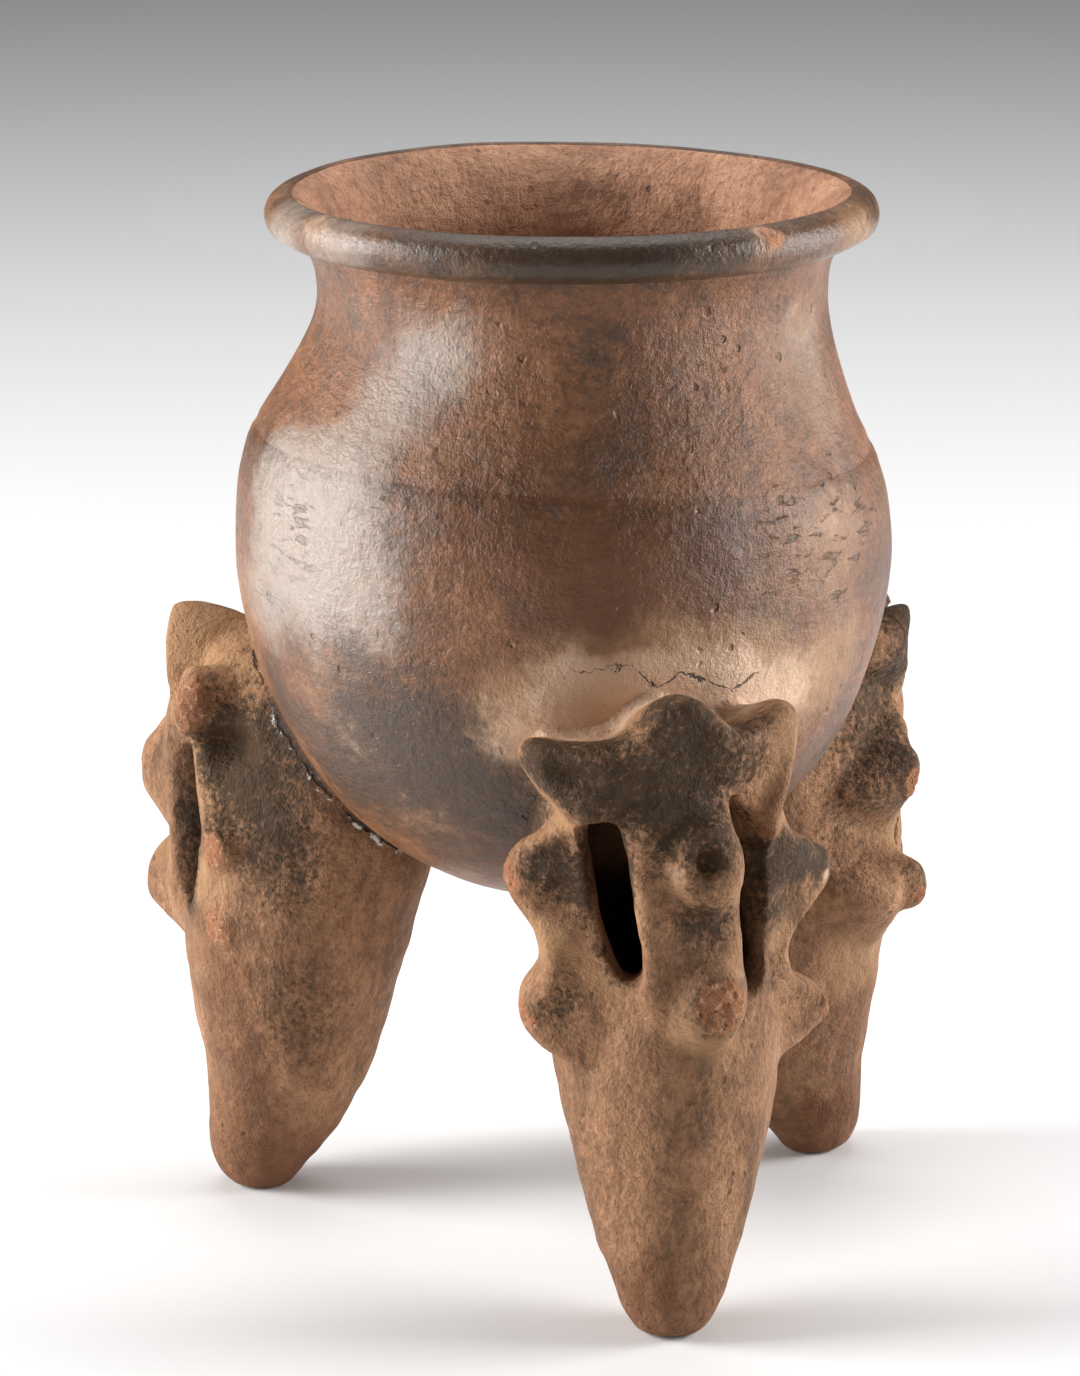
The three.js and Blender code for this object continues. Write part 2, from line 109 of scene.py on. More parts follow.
# Rattle chamber: floor, radius of its round bottom, lowest roof, and the wall of clay round it
chamber_floor = 27
chamber_round = 12.5
chamber_roof = 103.6
leg_wall = 5

# What each leg carries. Crest, wings and slits are outlines seen from in front, as (sideways,
# height). The wings are the flanks with their pinched points. Crest and wings have the place of
# their face and how broad it rounds. A slit has the place of its edge at the strap. Strap:
# height, outwards, sideways, half depth, half width. Spikes: root, tip, base radius, tip radius.
# Nubs: middle, outwards from and to, then half width and half height at the foot and at the tip.
FITTINGS = {}
FITTINGS["front"] = dict(
    crest=[
        (-27.2, 107), (-29.6, 111.8), (-27.4, 115.4), (-19.5, 114.8), (-12.6, 116), (-8, 121.2),
        (-3.1, 123.5), (2.1, 120.8), (7, 116), (11.4, 117), (16.6, 119.8), (20.6, 117), (19.4, 109),
        (17.2, 101), (15.4, 93), (8, 88), (-3, 87), (-14, 88), (-19, 93.5), (-22.2, 100.5)],
    crest_middle=(-3, 102), crest_face=(79.8, 39), wing_face=(73, 40),
    wings=[
        [(-8, 104), (-16, 104), (-21, 101), (-24, 97), (-27.6, 94.2), (-29.6, 90.6), (-29.8, 86.4),
         (-28, 82.4), (-25.8, 79), (-24.4, 75.4), (-24, 71), (-25, 67.4), (-26.8, 64.4), (-27, 60.6),
         (-25, 57), (-21.4, 54), (-16, 52), (-10, 53), (-7, 62), (-7, 80)],
        [(8, 104), (14, 103), (18.6, 100), (20.2, 96), (22.8, 92.8), (26.8, 90.4), (30.8, 87.4),
         (32.4, 84), (30.4, 80.2), (26.4, 77.4), (23.2, 74), (22, 70), (23.2, 66), (26.4, 63.2),
         (30.4, 60.6), (32.4, 57.4), (31, 54.2), (26.8, 51.8), (22, 50.4), (17, 49), (10, 50), (7, 60),
         (7, 80)]],
    slits=[
        ([(-20.6, 97.5), (-18.2, 100.8), (-14.4, 101.2), (-13, 97), (-12, 88), (-11, 79.5), (-10.6, 73),
          (-11.8, 69.8), (-15, 70.4), (-17.4, 77), (-19.4, 88)], -12),
        ([(7, 104.2), (10, 101.4), (13.4, 97), (15.6, 88), (16.8, 79), (17, 71.5), (15.4, 66.6),
          (11.8, 65.6), (9.8, 69), (8.9, 80), (7.7, 92), (6.6, 100)], 8)],
    strap=[
        (59, 68.5, 0.8, 1.6, 4), (62.5, 70.8, 0.4, 3.8, 8), (69, 72.4, -0.5, 4.8, 9.7),
        (80, 73.2, -1.4, 4.9, 9.9), (92, 73.7, -2.5, 4.9, 10), (101, 73.9, -3.3, 5.2, 10.3),
        (107, 73, -3.3, 4, 9)],
    spikes=[
        ((57, 14.6, 85), (57.8, 31.2, 84.4), 12, 3.8), ((56, 13.6, 59.4), (57.6, 31.4, 57.4), 12, 3.4),
        ((57.4, -15, 88.4), (58, -28.6, 88.4), 12, 4.6), ((56, -12.4, 63.4), (57.4, -26, 62.4), 12, 4)],
    nubs=[
        ((0.6, 93.6), (75.5, 83.4), (8.6, 11), (5.4, 7)),
        ((2.2, 67.4), (75, 82.4), (8, 10.6), (4.6, 6.4))])
FITTINGS["left"] = dict(
    crest=[
        (-25, 103), (-27.2, 107.6), (-24.4, 111), (-15, 109.2), (-9, 110.4), (-4.6, 114.6), (0, 116.2),
        (4.6, 114.6), (8, 110.4), (9.8, 105.6), (10.4, 100), (11, 94), (10.6, 88), (8.6, 84.4), (5, 83),
        (-7, 83), (-15, 86), (-20, 94), (-22.5, 99)],
    crest_middle=(0, 101), crest_face=(79.3, 30), wing_face=(73.2, 38),
    wings=[
        [(8, 100), (14, 99), (17.6, 94), (18.4, 88), (18.4, 82), (20.2, 76), (20.6, 71), (18.6, 66),
         (19.6, 61), (20, 56), (17.6, 50), (13, 47), (8, 49), (7, 60), (7, 80)],
        [(-8, 100), (-15, 99), (-20.6, 96), (-26, 92), (-31, 88.2), (-32.4, 84), (-30.4, 79.6),
         (-25.6, 76.4), (-23, 72.4), (-25.4, 68.6), (-31, 64.4), (-32.8, 60.4), (-30.8, 56),
         (-24.6, 51.6), (-17, 47.6), (-9, 48), (-7, 58), (-7, 80)]],
    slits=[
        ([(9.8, 89.4), (11.8, 90.6), (14.8, 86.5), (16, 79), (15.8, 70), (14.4, 62), (12, 58.8),
          (10, 60.8), (9.5, 70), (9.5, 82)], 10),
        ([(-9.8, 91.4), (-9.5, 82), (-9.5, 71), (-10, 62.8), (-12, 60.4), (-14.4, 63), (-15.8, 71),
          (-16, 80), (-14.8, 88), (-11.8, 92.6)], -10)],
    strap=[
        (49, 71.4, 0, 1.6, 4), (53, 72.6, 0, 3.6, 8), (60, 73.8, 0, 4.6, 9.3), (72, 74.2, 0, 4.6, 9.4),
        (84, 74.4, 0, 4.6, 9.4), (96, 74, 0, 4.6, 9.6), (104, 72.5, 0, 3.8, 8.6)],
    spikes=[
        ((56, 12, 75), (64.2, 21, 72.6), 10.6, 4.6), ((55.4, 11.4, 58), (63.6, 20.2, 57.4), 10.2, 4.4),
        ((58, 9, 99), (71.6, 18.4, 101.8), 9.6, 6.8), ((58.6, -15, 84.5), (61, -32.4, 84.4), 14.6, 4.2),
        ((57.6, -13, 60.5), (62, -32.6, 60), 14, 4)],
    nubs=[
        ((0, 82.6), (76.4, 86.4), (8.2, 16.4), (2.8, 4.6)),
        ((0, 60.8), (76.4, 85.8), (7.8, 12.6), (2.8, 4.4))])
FITTINGS["right"] = dict(
    crest=[
        (-18, 100.4), (-21.6, 104.6), (-22.2, 108.6), (-19, 112.2), (-13.6, 113), (-9, 110.4),
        (-4.6, 112.8), (0, 114.2), (4.6, 112.6), (9, 108.8), (15, 109.2), (21, 109.8), (23.4, 107.4),
        (21.6, 100.6), (18.6, 93), (14, 84), (6, 82), (-5, 82), (-10.4, 83.6), (-12.6, 89),
        (-14.2, 95.4)],
    crest_middle=(0, 99), crest_face=(76.4, 30), wing_face=(71, 46),
    wings=[
        [(8, 98), (15, 97), (19.6, 92), (25, 88), (29.6, 84.6), (30.4, 80.6), (28, 76.6), (23.6, 73.4),
         (21.6, 69.4), (24, 65.6), (29, 61.2), (30.4, 57), (28, 52.6), (22, 48.4), (15, 44.6), (8, 46),
         (7, 58), (7, 78)],
        [(-7, 97), (-12.6, 97), (-16, 93.6), (-19.2, 90.4), (-23.2, 87.2), (-26, 84.2), (-26.2, 80.4),
         (-23.6, 76.6), (-20, 73), (-18.2, 69.6), (-19.8, 66.4), (-23.4, 63.8), (-26.4, 61.6),
         (-27, 58), (-24.4, 53.6), (-20, 49.6), (-15, 45.6), (-9, 45), (-6, 56), (-6, 78)]],
    slits=[
        ([(9.8, 88), (11.8, 88.6), (14.8, 84.5), (16, 77), (15.8, 68), (14.4, 60), (12, 56.8),
          (10, 58.8), (9.5, 68), (9.5, 80)], 10),
        ([(-9.8, 88), (-9.5, 80), (-9.5, 68), (-10, 58.8), (-12, 56.8), (-14.4, 60), (-15.8, 68),
          (-16, 77), (-14.8, 84.5), (-11.8, 88.6)], -10)],
    strap=[
        (46, 70.4, 1, 1.6, 4), (50, 71.6, 0.8, 3.6, 8), (57, 72.6, 0.6, 4.6, 9.3),
        (69, 73, 0.4, 4.6, 9.4), (81, 73.2, 0.2, 4.6, 9.4), (94, 72.6, 0, 4.6, 9.6),
        (101, 71.4, 0, 3.8, 8.6)],
    spikes=[
        ((57, 16, 81), (61.6, 31, 81), 12, 3.4), ((57, 15, 57), (61.6, 31.8, 57), 11.8, 3.4),
        ((58.8, -13, 82.6), (64.4, -25.8, 82.2), 13, 4.8),
        ((60, -11.4, 59.4), (66.4, -26.2, 59.6), 13, 4.6)],
    nubs=[
        ((0.2, 82), (75.5, 83.4), (8, 9.8), (3, 3.8)), ((0.6, 58), (75, 83), (7.6, 9), (3, 3.8))])

# Crest and wings, level by level: how far behind the face, and their width and height as shares
CREST_LEVELS = [
    (27.8, 0.74, 0.7), (20, 0.8, 0.78), (14, 0.9, 0.86), (9, 0.98, 0.95), (5, 1, 1), (1.6, 1, 1),
    (0, 0.95, 0.95),
]
WING_LEVELS = [
    (24, 0.6, 0.72), (17, 0.76, 0.84), (11, 0.9, 0.92), (6, 0.98, 0.98), (2.4, 1, 1), (0, 0.95, 0.975),
]
# Slits, level by level: outwards, how far they undercut the strap, and width and height as shares
SLIT_LEVELS = [
    (53, 6, 1, 0.94), (61, 5, 1.02, 0.95), (66, 4, 1.12, 0.97), (70, 2.6, 1.36, 1),
    (73.6, 0.9, 1.44, 1.01), (76.4, -0.1, 1.58, 1.02), (86, -0.4, 2, 1.04),
]

# A crest's or wing's face: its depth if it rounded on to its full breadth, and where the rounding
# fades out behind it
face_depth = 36
face_fade = (30, 14)

# How crest and wings lean in: from how far below the crest's row, and by how much
crest_lean = (3, 0.022)
wing_lean = (13, 0.1)

# A wing's middle: how far aside, and how far below the crest's row
wing_middle = (9, 34)

# A flat band with rounded edges, as half depth and half width
BAND = [
    (0, -1), (0.55, -0.97), (0.86, -0.84), (1, -0.5), (1, 0), (1, 0.5), (0.86, 0.84), (0.55, 0.97),
    (0, 1), (-0.8, 0.9), (-1, 0.4), (-1, -0.4), (-0.8, -0.9),
]

# The piece of bowl that a leg is smoothed into lies in this ball, in the leg's axes
patch_middle = (50, 0, 98)
patch_radius = 43

# How far inside the bowl's outside that piece and the pot's own space begin
patch_inset = 0.4
core_inset = 1.6

# The mesh sizes at which a leg's lumps become one form, and the form its final skin
form_voxel = 0.75
skin_voxel = 0.62

# Dents left by the fingers, in a leg's axes: middle, radii, depth
FINGER_DENTS = {
    "front": [
        ((83, -0.9, 95), (4.4, 3.4, 5), 2), ((72, -21, 110), (7, 7.5, 3.6), 1.6),
        ((66, -22, 85), (6, 5, 6), 0.9), ((66, 22, 82), (6, 5, 6), 0.9)],
    "left": [
        ((61, 20, 93.4), (8, 8, 5.6), 2.4)],
}

# Standing an outline up to face outwards: its x runs sideways, its y up
FACING_OUT = Matrix(((0, 0, 1), (1, 0, 0), (0, 1, 0))).to_4x4()


def smooth_step(value, low, high):
    """0 below low, 1 above high, and a smooth rise between. Takes numbers and arrays."""
    share = np.clip((value - low) / (high - low), 0.0, 1.0)
    return share * share * (3 - 2 * share)


def bell(value, middle, width):
    """1 at the middle, falling smoothly to nothing on both sides."""
    return np.exp(-(((value - middle) / width) ** 2))


def smooth_rows(rows, steps, closed=False):
    """Rows of numbers with a smooth line drawn through them, in so many steps from row to row."""
    rows = np.array(rows, float)
    if closed:
        before, after = np.roll(rows, 1, axis=0), np.roll(rows, -1, axis=0)
    else:
        before, after = np.vstack([rows[:1], rows[:-1]]), np.vstack([rows[1:], rows[-1:]])
    slope = (after - before) / 2
    next_slope = np.roll(slope, -1, axis=0)
    drawn = []
    for i in range(len(rows) if closed else len(rows) - 1):
        for s in np.linspace(0, 1, steps, endpoint=False):
            drawn.append(
                rows[i] * (2 * s**3 - 3 * s**2 + 1) + slope[i] * (s**3 - 2 * s**2 + s)
                + after[i] * (3 * s**2 - 2 * s**3) + next_slope[i] * (s**3 - s**2))
    if not closed:
        drawn.append(rows[-1])
    return drawn


def axis_shift(height):
    """How far the pot's axis stands left of the mouth's: the upper wall leans back to it."""
    return lean * (1 - smooth_step(height, ridge_height, neck_height))


def axis_at(height):
    """The pot's axis at a height."""
    return Vector((mouth.x - float(axis_shift(height)), mouth.y, 0))


def thinned(line, wall):
    """A line of (radius, height) points moved inwards by the wall, square to the line."""
    line = np.array(line)
    run = np.gradient(line, axis=0)
    run /= np.linalg.norm(run, axis=1)[:, None]
    inner = line + wall * np.column_stack([-run[:, 1], run[:, 0]])
    inner[:, 0] = np.maximum(inner[:, 0], 0)
    return inner


def turned(profile, steps=pot_steps, closed=True):
    """A shell turned round the pot's axis from (radius, height) points."""
    bm = bmesh.new()
    ring = [bm.verts.new((radius, 0, height)) for radius, height in profile]
    for pair in zip(ring, ring[1:]):
        bm.edges.new(pair)
    if closed:
        bm.edges.new((ring[-1], ring[0]))
    bmesh.ops.spin(
        bm, geom=bm.verts[:] + bm.edges[:], cent=(0, 0, 0), axis=UP, angle=2 * pi, steps=steps,
        use_merge=True)
    bmesh.ops.remove_doubles(bm, verts=bm.verts, dist=0.0005)
    bmesh.ops.recalc_face_normals(bm, faces=bm.faces)
    for vert in bm.verts:
        vert.co += axis_at(vert.co.z)
    return bm


def stack(bm, places, outline=None, sides=32):
    """Adds a closed form to bm: a circle or an outline, drawn out through each of its places."""
    if outline is None:
        made = bmesh.ops.create_circle(bm, segments=sides, radius=1, matrix=places[0])["verts"]
        edges = list({edge for vert in made for edge in vert.link_edges})
    else:
        made = [bm.verts.new(places[0] @ Vector((x, y, 0))) for x, y in outline]
        edges = [bm.edges.new(pair) for pair in zip(made, made[1:] + made[:1])]
    bmesh.ops.edgeloop_fill(bm, edges=edges)
    for before, after in zip(places, places[1:]):
        drawn = bmesh.ops.extrude_edge_only(bm, edges=edges)["geom"]
        made = [part for part in drawn if isinstance(part, bmesh.types.BMVert)]
        new = set(made)
        edges = [part for part in drawn if isinstance(part, bmesh.types.BMEdge)
                 and part.verts[0] in new and part.verts[1] in new]
        bmesh.ops.transform(bm, matrix=after @ before.inverted(), verts=made)
    bmesh.ops.edgeloop_fill(bm, edges=edges)


def place(x, y, z, half_x, half_y):
    """A level ring's place: its middle and its two half widths."""
    return Matrix.Translation((x, y, z)) @ Matrix.Diagonal((half_x, half_y, 1, 1))


def row_place(row):
    """The place of a row: height, outwards, sideways, half depth, half width."""
    height, *rest = row
    return place(*rest[:2], height, *rest[2:])


def facing_place(out, middle, wide, tall):
    """A place for an outline that faces outwards, sized about its middle."""
    across, height = middle
    return (Matrix.Translation((out, across, height)) @ FACING_OUT
            @ Matrix.Diagonal((wide, tall, 1, 1)) @ Matrix.Translation((-across, -height, 0)))


def leg_levels(leg, grow=0.0):
    """A leg's own outline as rows: height, outwards, sideways, half depth, half width."""
    stretch = leg["crest"] - outline_crest
    for height, inward, depth, width in smooth_rows(LEG_OUTLINE, 4):
        share = float(smooth_step(height, stretch_from, outline_crest))
        swing = sin(pi * min(height / sway_height, 1))
        yield (height + stretch * share, belly_radius - inward - leg["inset"], leg["sway"] * swing,
               depth + grow, width + grow)


def add_leg_body(bm, leg):
    """The tapering leg itself, closed by a small round top."""
    rows = list(leg_levels(leg))
    height, out, across, depth, width = rows[-1]
    places = [row_place(row) for row in rows]
    for outwards, rise, share in ((0.4, 1.6, 0.7), (0.8, 2.4, 0.3)):
        places.append(place(out + outwards, across, height + rise, depth * share, width * share))
    stack(bm, places, sides=48)


def add_chamber(bm, leg):
    """The rattle chamber: a round bottom that widens to the leg's own section less its wall."""
    rows = list(leg_levels(leg, -leg_wall))
    middle = chamber_floor + chamber_round
    at_middle = min(rows, key=lambda row: abs(row[0] - middle))
    out, across = at_middle[1], at_middle[2]
    places = [place(out, across, chamber_floor, 1, 1)]
    for degrees in (20, 45, 68, 90):
        half = chamber_round * sin(radians(degrees))
        height = middle - chamber_round * cos(radians(degrees))
        places.append(place(out, across, height, half, half))
    sides = [row for row in rows if middle + leg_wall < row[0] < leg["crest"] - 1]
    places += [row_place(row) for row in sides]
    if sides[-1][0] < chamber_roof:
        places.append(row_place((chamber_roof, *sides[-1][1:])))
    stack(bm, places, sides=40)


def add_plate(bm, outline, levels, middle, face, sink, centre=None):
    """An outline seen from in front, drawn out to a face that rounds back sideways and sinks in."""
    front, broad = face
    plate = bmesh.new()
    places = [facing_place(front - behind, middle, wide, tall) for behind, wide, tall in levels]
    stack(plate, places, smooth_rows(outline, 3, closed=True))
    centre = middle[0] if centre is None else centre
    behind, ahead = face_fade
    for vert in plate.verts:
        near_face = float(smooth_step(vert.co.x, front - behind, front - ahead))
        aside = min(abs(vert.co.y - centre) / broad, 0.9)
        vert.co.x -= (face_depth * (1 - (1 - aside**2) ** 0.5) + sink(vert.co.z)) * near_face
    mesh = bpy.data.meshes.new("plate")
    plate.to_mesh(mesh)
    plate.free()
    bm.from_mesh(mesh)
    bpy.data.meshes.remove(mesh)


def add_spike(bm, root, tip, base, end):
    """A pinched spike: wide foot, hollow flanks and a round tip."""
    root, tip = Vector(root), Vector(tip)
    turn = (tip - root).to_track_quat("Z", "Y").to_matrix().to_4x4()
    places = []
    for share in (0.0, 0.15, 0.3, 0.45, 0.6, 0.75, 0.88, 0.96, 1.0):
        radius = end + (base - end) * (1 - share) ** 1.7
        round_off = {0.96: 0.8, 1.0: 0.45}.get(share, 1.0)
        flat = 0.84 - 0.12 * share
        size = Matrix.Diagonal((radius * round_off * flat, radius * round_off, 1, 1))
        places.append(Matrix.Translation(root.lerp(tip, share)) @ turn @ size)
    stack(bm, places, sides=24)


def add_nub(bm, middle, reach, foot, tip):
    """A nub pinched up from the strap."""
    across, height = middle
    places = []
    for share in (0.0, 0.3, 0.55, 0.75, 0.9, 1.0):
        swell = (1 - share) ** 1.1
        wide = tip[0] + (foot[0] - tip[0]) * swell
        tall = tip[1] + (foot[1] - tip[1]) * swell
        round_off = {0.9: 0.94, 1.0: 0.6}.get(share, 1.0)
        out = reach[0] + (reach[1] - reach[0]) * share
        places.append(Matrix.Translation((out, across, height)) @ FACING_OUT
                      @ Matrix.Diagonal((wide * round_off, tall * round_off, 1, 1)))
    stack(bm, places, sides=24)


def add_slit(bm, outline, inner_edge):
    """A slit's cutter: it widens outwards and undercuts the strap inside."""
    height = (outline[0][1] + outline[len(outline) // 2][1]) / 2
    inwards = -1 if inner_edge > 0 else 1
    places = [Matrix.Translation((0, inwards * under, 0))
              @ facing_place(out, (inner_edge, height), wide, tall)
              for out, under, wide, tall in SLIT_LEVELS]
    stack(bm, places, smooth_rows(outline, 3, closed=True))


def mesh_object(bm, name):
    """A mesh and its object from a bmesh, which is freed."""
    bmesh.ops.recalc_face_normals(bm, faces=bm.faces)
    mesh = bpy.data.meshes.new(name)
    bm.to_mesh(mesh)
    bm.free()
    piece = bpy.data.objects.new(name, mesh)
    bpy.context.scene.collection.objects.link(piece)
    return piece


def worked(piece, kind, **settings):
    """One modifier, applied at once."""
    modifier = piece.modifiers.new("work", kind)
    for key, value in settings.items():
        setattr(modifier, key, value)
    bpy.context.view_layer.update()
    depsgraph = bpy.context.evaluated_depsgraph_get()
    mesh = bpy.data.meshes.new_from_object(piece.evaluated_get(depsgraph))
    piece.modifiers.clear()
    old, piece.data = piece.data, mesh
    bpy.data.meshes.remove(old)


def smoothed(piece, times, **settings):
    """A piece's mesh, smoothed so many times."""
    worked(piece, "SMOOTH", factor=0.5, iterations=times, **settings)


def cut_by(piece, other, operation):
    """A piece cut by another one, which is then removed."""
    worked(piece, "BOOLEAN", operation=operation, solver="MANIFOLD", object=other)
    discarded(other)


def discarded(piece):
    """Removes a piece that was only used to cut or measure another."""
    mesh = piece.data
    bpy.data.objects.remove(piece)
    bpy.data.meshes.remove(mesh)


def vectors_of(items, name):
    """A vector of each of a mesh's points, as an array."""
    values = np.empty(len(items) * 3, np.float32)
    items.foreach_get(name, values)
    return values.reshape(-1, 3).astype(float)


def positions(mesh):
    """A mesh's points as an array."""
    return vectors_of(mesh.vertices, "co")


def normals(mesh):
    """A mesh's point normals as an array."""
    return vectors_of(mesh.vertex_normals, "vector")


def moved_by(matrix, points):
    """Points moved by a matrix."""
    turn = np.array(matrix)
    return points @ turn[:3, :3].T + turn[:3, 3]


def set_positions(mesh, points):
    """Moves a mesh's points."""
    mesh.vertices.foreach_set("co", points.astype(np.float32).ravel())
    mesh.update()


def write_fields(mesh, **fields):
    """Writes numbers for each point of a mesh, as attributes that the clay reads."""
    for name, values in fields.items():
        attribute = mesh.attributes.new(name, "FLOAT", "POINT")
        attribute.data.foreach_set("value", np.asarray(values, np.float32))


def waves(points, length, seed=0):
    """Smooth noise of about that wave length in millimetres, from -1 to 1."""
    place_in_grid = points / (0.6 * length) + 31.7 * seed + 512
    cell = np.floor(place_in_grid).astype(np.int64)
    share = place_in_grid - cell
    share = share**3 * (share * (share * 6 - 15) + 10)
    total = np.zeros(len(points))
    for corner in np.ndindex(2, 2, 2):
        x, y, z = (cell + corner).T
        mixed = (x * 73856093) ^ (y * 19349663) ^ (z * 83492791) ^ (seed * 2654435761)
        mixed = (mixed ^ (mixed >> 13)) * 1274126177 & 0xFFFFFFFF
        value = ((mixed ^ (mixed >> 16)) & 0xFFFF) / 32767.5 - 1
        weight = np.where(corner, share, 1 - share).prod(axis=1)
        total += value * weight
    return total


# The pot's whole outside in half section, for measuring how deep a point lies in the pot's wall
POT_SECTION = np.array(
    smooth_rows(BOWL_LINE, 8) + smooth_rows(WALL_LINE, 6)[1:] + smooth_rows(RIM_LINE[:6], 6)[1:])


def pot_distance(points):
    """How far points (world millimetres) stand outside the pot's outside, negative inside it."""
    radius = np.hypot(points[:, 0] - (mouth.x - axis_shift(points[:, 2])), points[:, 1] - mouth.y)
    here = np.column_stack([radius, points[:, 2]])
    distance = np.empty(len(points))
    run = np.gradient(POT_SECTION, axis=0)
    block_size = 20000
    for start in range(0, len(points), block_size):
        block = here[start:start + block_size]
        gap = block[:, None, :] - POT_SECTION[None, :, :]
        square = (gap**2).sum(axis=2)
        nearest = square.argmin(axis=1)
        pick = np.arange(len(block))
        near, along = gap[pick, nearest], run[nearest]
        turn = near[:, 0] * along[:, 1] - near[:, 1] * along[:, 0]
        across = np.abs(turn) / np.hypot(*along.T)
        plain = np.sqrt(square[pick, nearest])
        distance[start:start + block_size] = np.sign(turn) * np.where(plain < 3, across, plain)
    return distance


def bearings(points, middle):
    """The bearing of points round a middle, in radians from the front."""
    return np.arctan2(points[:, 0] - middle.x, -(points[:, 1] - middle.y))


def hand_wobble(points):
    """The unevenness of hand building, the same for every piece, in world millimetres."""
    moved = points.copy()
    height = points[:, 2]
    away = points[:, :2] - np.array([belly.x, belly.y])
    away /= np.maximum(np.hypot(*away.T), 1e-6)[:, None]
    swell = (0.55 * waves(points, 42.0, 1) + 0.22 * waves(points, 17.0, 2)
             + 0.08 * waves(points, 6.5, 3))
    hold = smooth_step(height, 6.0, 40.0) * (1 - 0.6 * smooth_step(height, 190.0, 198.0))
    moved[:, :2] += away * (swell * hold)[:, None]

    # The crease at the ridge, which dips towards the right
    crease = bell(height, ridge_height, 0.9) - 0.7 * bell(height, 152.4, 2.2)
    moved[:, :2] -= away * (0.36 * crease)[:, None]
    moved[:, 2] += (-1.2 - 2.3 * points[:, 0] / 57) * bell(height, ridge_height, 16)

    # The rim's two dips
    bearing = bearings(points, mouth)
    dip = (0.55 * np.clip(np.cos(bearing + radians(107)), 0, 1) ** 2
           + 0.9 * np.clip(np.cos(bearing - radians(125)), 0, 1) ** 2
           + 0.12 * (1 + waves(points, 30.0, 5)))
    moved[:, 2] -= dip * smooth_step(height, 172.0, 197.0)
    return moved


def leg_place(name):
    """From a leg's own axes to the world, in millimetres."""
    turn = Matrix.Rotation(radians(LEGS[name]["bearing"] - 90), 4, "Z")
    return Matrix.Translation((mouth.x, mouth.y, 0)) @ turn


def on_pot(bearing, height):
    """A point on the pot's outside by bearing from the front leg and height."""
    radius = np.interp(height, POT_SECTION[:, 1], POT_SECTION[:, 0])
    turn = radians(bearing)
    return axis_at(height) + Vector((radius * sin(turn), -radius * cos(turn), height))


# Marks on the pot's clay: bearing, height, radius, strength
POT_MARKS = {
    # Ash grey with painted sheen: all but the mark at the back also paint the lamps' sheen on the
    # burnished clay, at the left of belly, neck and rim and at the right of the neck
    "ash_and_sheen": [
        (-66, 141, 25, 0.95), (-78, 150, 16, 0.6), (-52, 131, 13, 0.4), (-84, 128, 15, 0.5),
        (-52, 170, 15, 0.65), (-44, 179, 11, 0.5), (-58, 158, 14, 0.5), (46, 176, 15, 0.4),
        (48, 160, 12, 0.3), (160, 140, 22, 0.4), (-86, 197, 14, 0.6), (-64, 197, 13, 0.5)],
    "soot_and_shade": [
        (-44, 106, 24, 0.8), (-28, 94, 22, 0.75), (-62, 98, 18, 0.45), (-47, 140, 9, 0.35),
        (-60, 120, 16, 0.5), (-11, 179, 11, 0.4), (-16, 172, 8, 0.25), (-40, 197, 14, 0.7),
        (-22, 197, 14, 0.95), (-4, 197, 14, 0.95), (12, 197, 12, 0.7), (34, 196, 12, 0.4),
        (150, 118, 26, 0.75), (-160, 150, 20, 0.5), (95, 150, 18, 0.35), (180, 84, 30, 0.7),
        (60, 92, 24, 0.6), (20, 88, 20, 0.5), (-110, 96, 24, 0.6), (-84, 108, 14, 0.6),
        (-72, 94, 16, 0.6), (-52, 82, 14, 0.5), (130, 196, 18, 0.6), (-150, 197, 16, 0.5),
        (0, 74, 20, 0.6), (-100, 172, 18, 0.3)],
    "red": [
        (-11, 144, 18, 0.75), (-11, 130, 16, 0.7), (-28, 146, 15, 0.6), (7, 143, 14, 0.6),
        (-30, 124, 13, 0.5), (-22, 163, 15, 0.35), (70, 130, 24, 0.5), (-140, 120, 24, 0.5),
        (120, 170, 22, 0.4), (8, 182, 12, 0.3)],
    "tan": [
        (-14, 119, 15, 0.95), (-27, 112, 14, 0.75), (7, 123, 14, 0.95), (25, 115, 16, 0.9),
        (-4, 128, 11, 0.5), (36, 143, 17, 0.5), (40, 118, 16, 0.6), (18, 126, 12, 0.5),
        (-58, 103, 9, 0.4), (-52, 91, 9, 0.4), (-65, 110, 8, 0.4), (42, 170, 18, 0.45),
        (22.6, 198.3, 4.5, 1), (52, 197, 15, 0.5), (-98, 122, 14, 0.4), (-20, 103, 10, 0.5),
        (140, 100, 24, 0.4), (-170, 175, 24, 0.3), (-34, 162, 10, 0.3)],
    "pale": [
        (-15, 118.5, 12, 0.9), (-4, 120.5, 11, 1), (6, 122, 10, 1), (14, 119, 11, 1),
        (24, 115, 10, 0.85), (-26, 112, 11, 0.45), (-20, 104, 9, 0.4), (30, 121, 8, 0.4),
        (-62, 106, 10, 0.18), (-50, 91, 9, 0.18), (38, 147, 10, 0.3), (22.6, 198.3, 3.6, 0.8),
        # The pale marks at bearings -72, 46 and -40, on the rim and the neck, are painted sheen of the
        # lamps
        (52, 197.5, 8, 0.3), (-72, 198, 9, 0.35), (46, 180, 14, 0.2), (-40, 178, 12, 0.2)],
    "gouges": [
        (26, 149, 9, 1), (40, 150, 8, 0.9), (50, 149, 8, 0.9), (24, 140.5, 8, 0.8), (40, 137, 9, 0.8),
        (44, 144, 8, 0.9), (32, 143, 7, 0.6), (-48, 152, 5, 0.5), (-20, 152.6, 4, 0.4),
        (-70, 143, 12, 0.5), (16, 176, 6, 0.4), (-80, 130, 8, 0.4)],
    "scar": [(22.6, 198.6, 2.6, 0.9)],
}

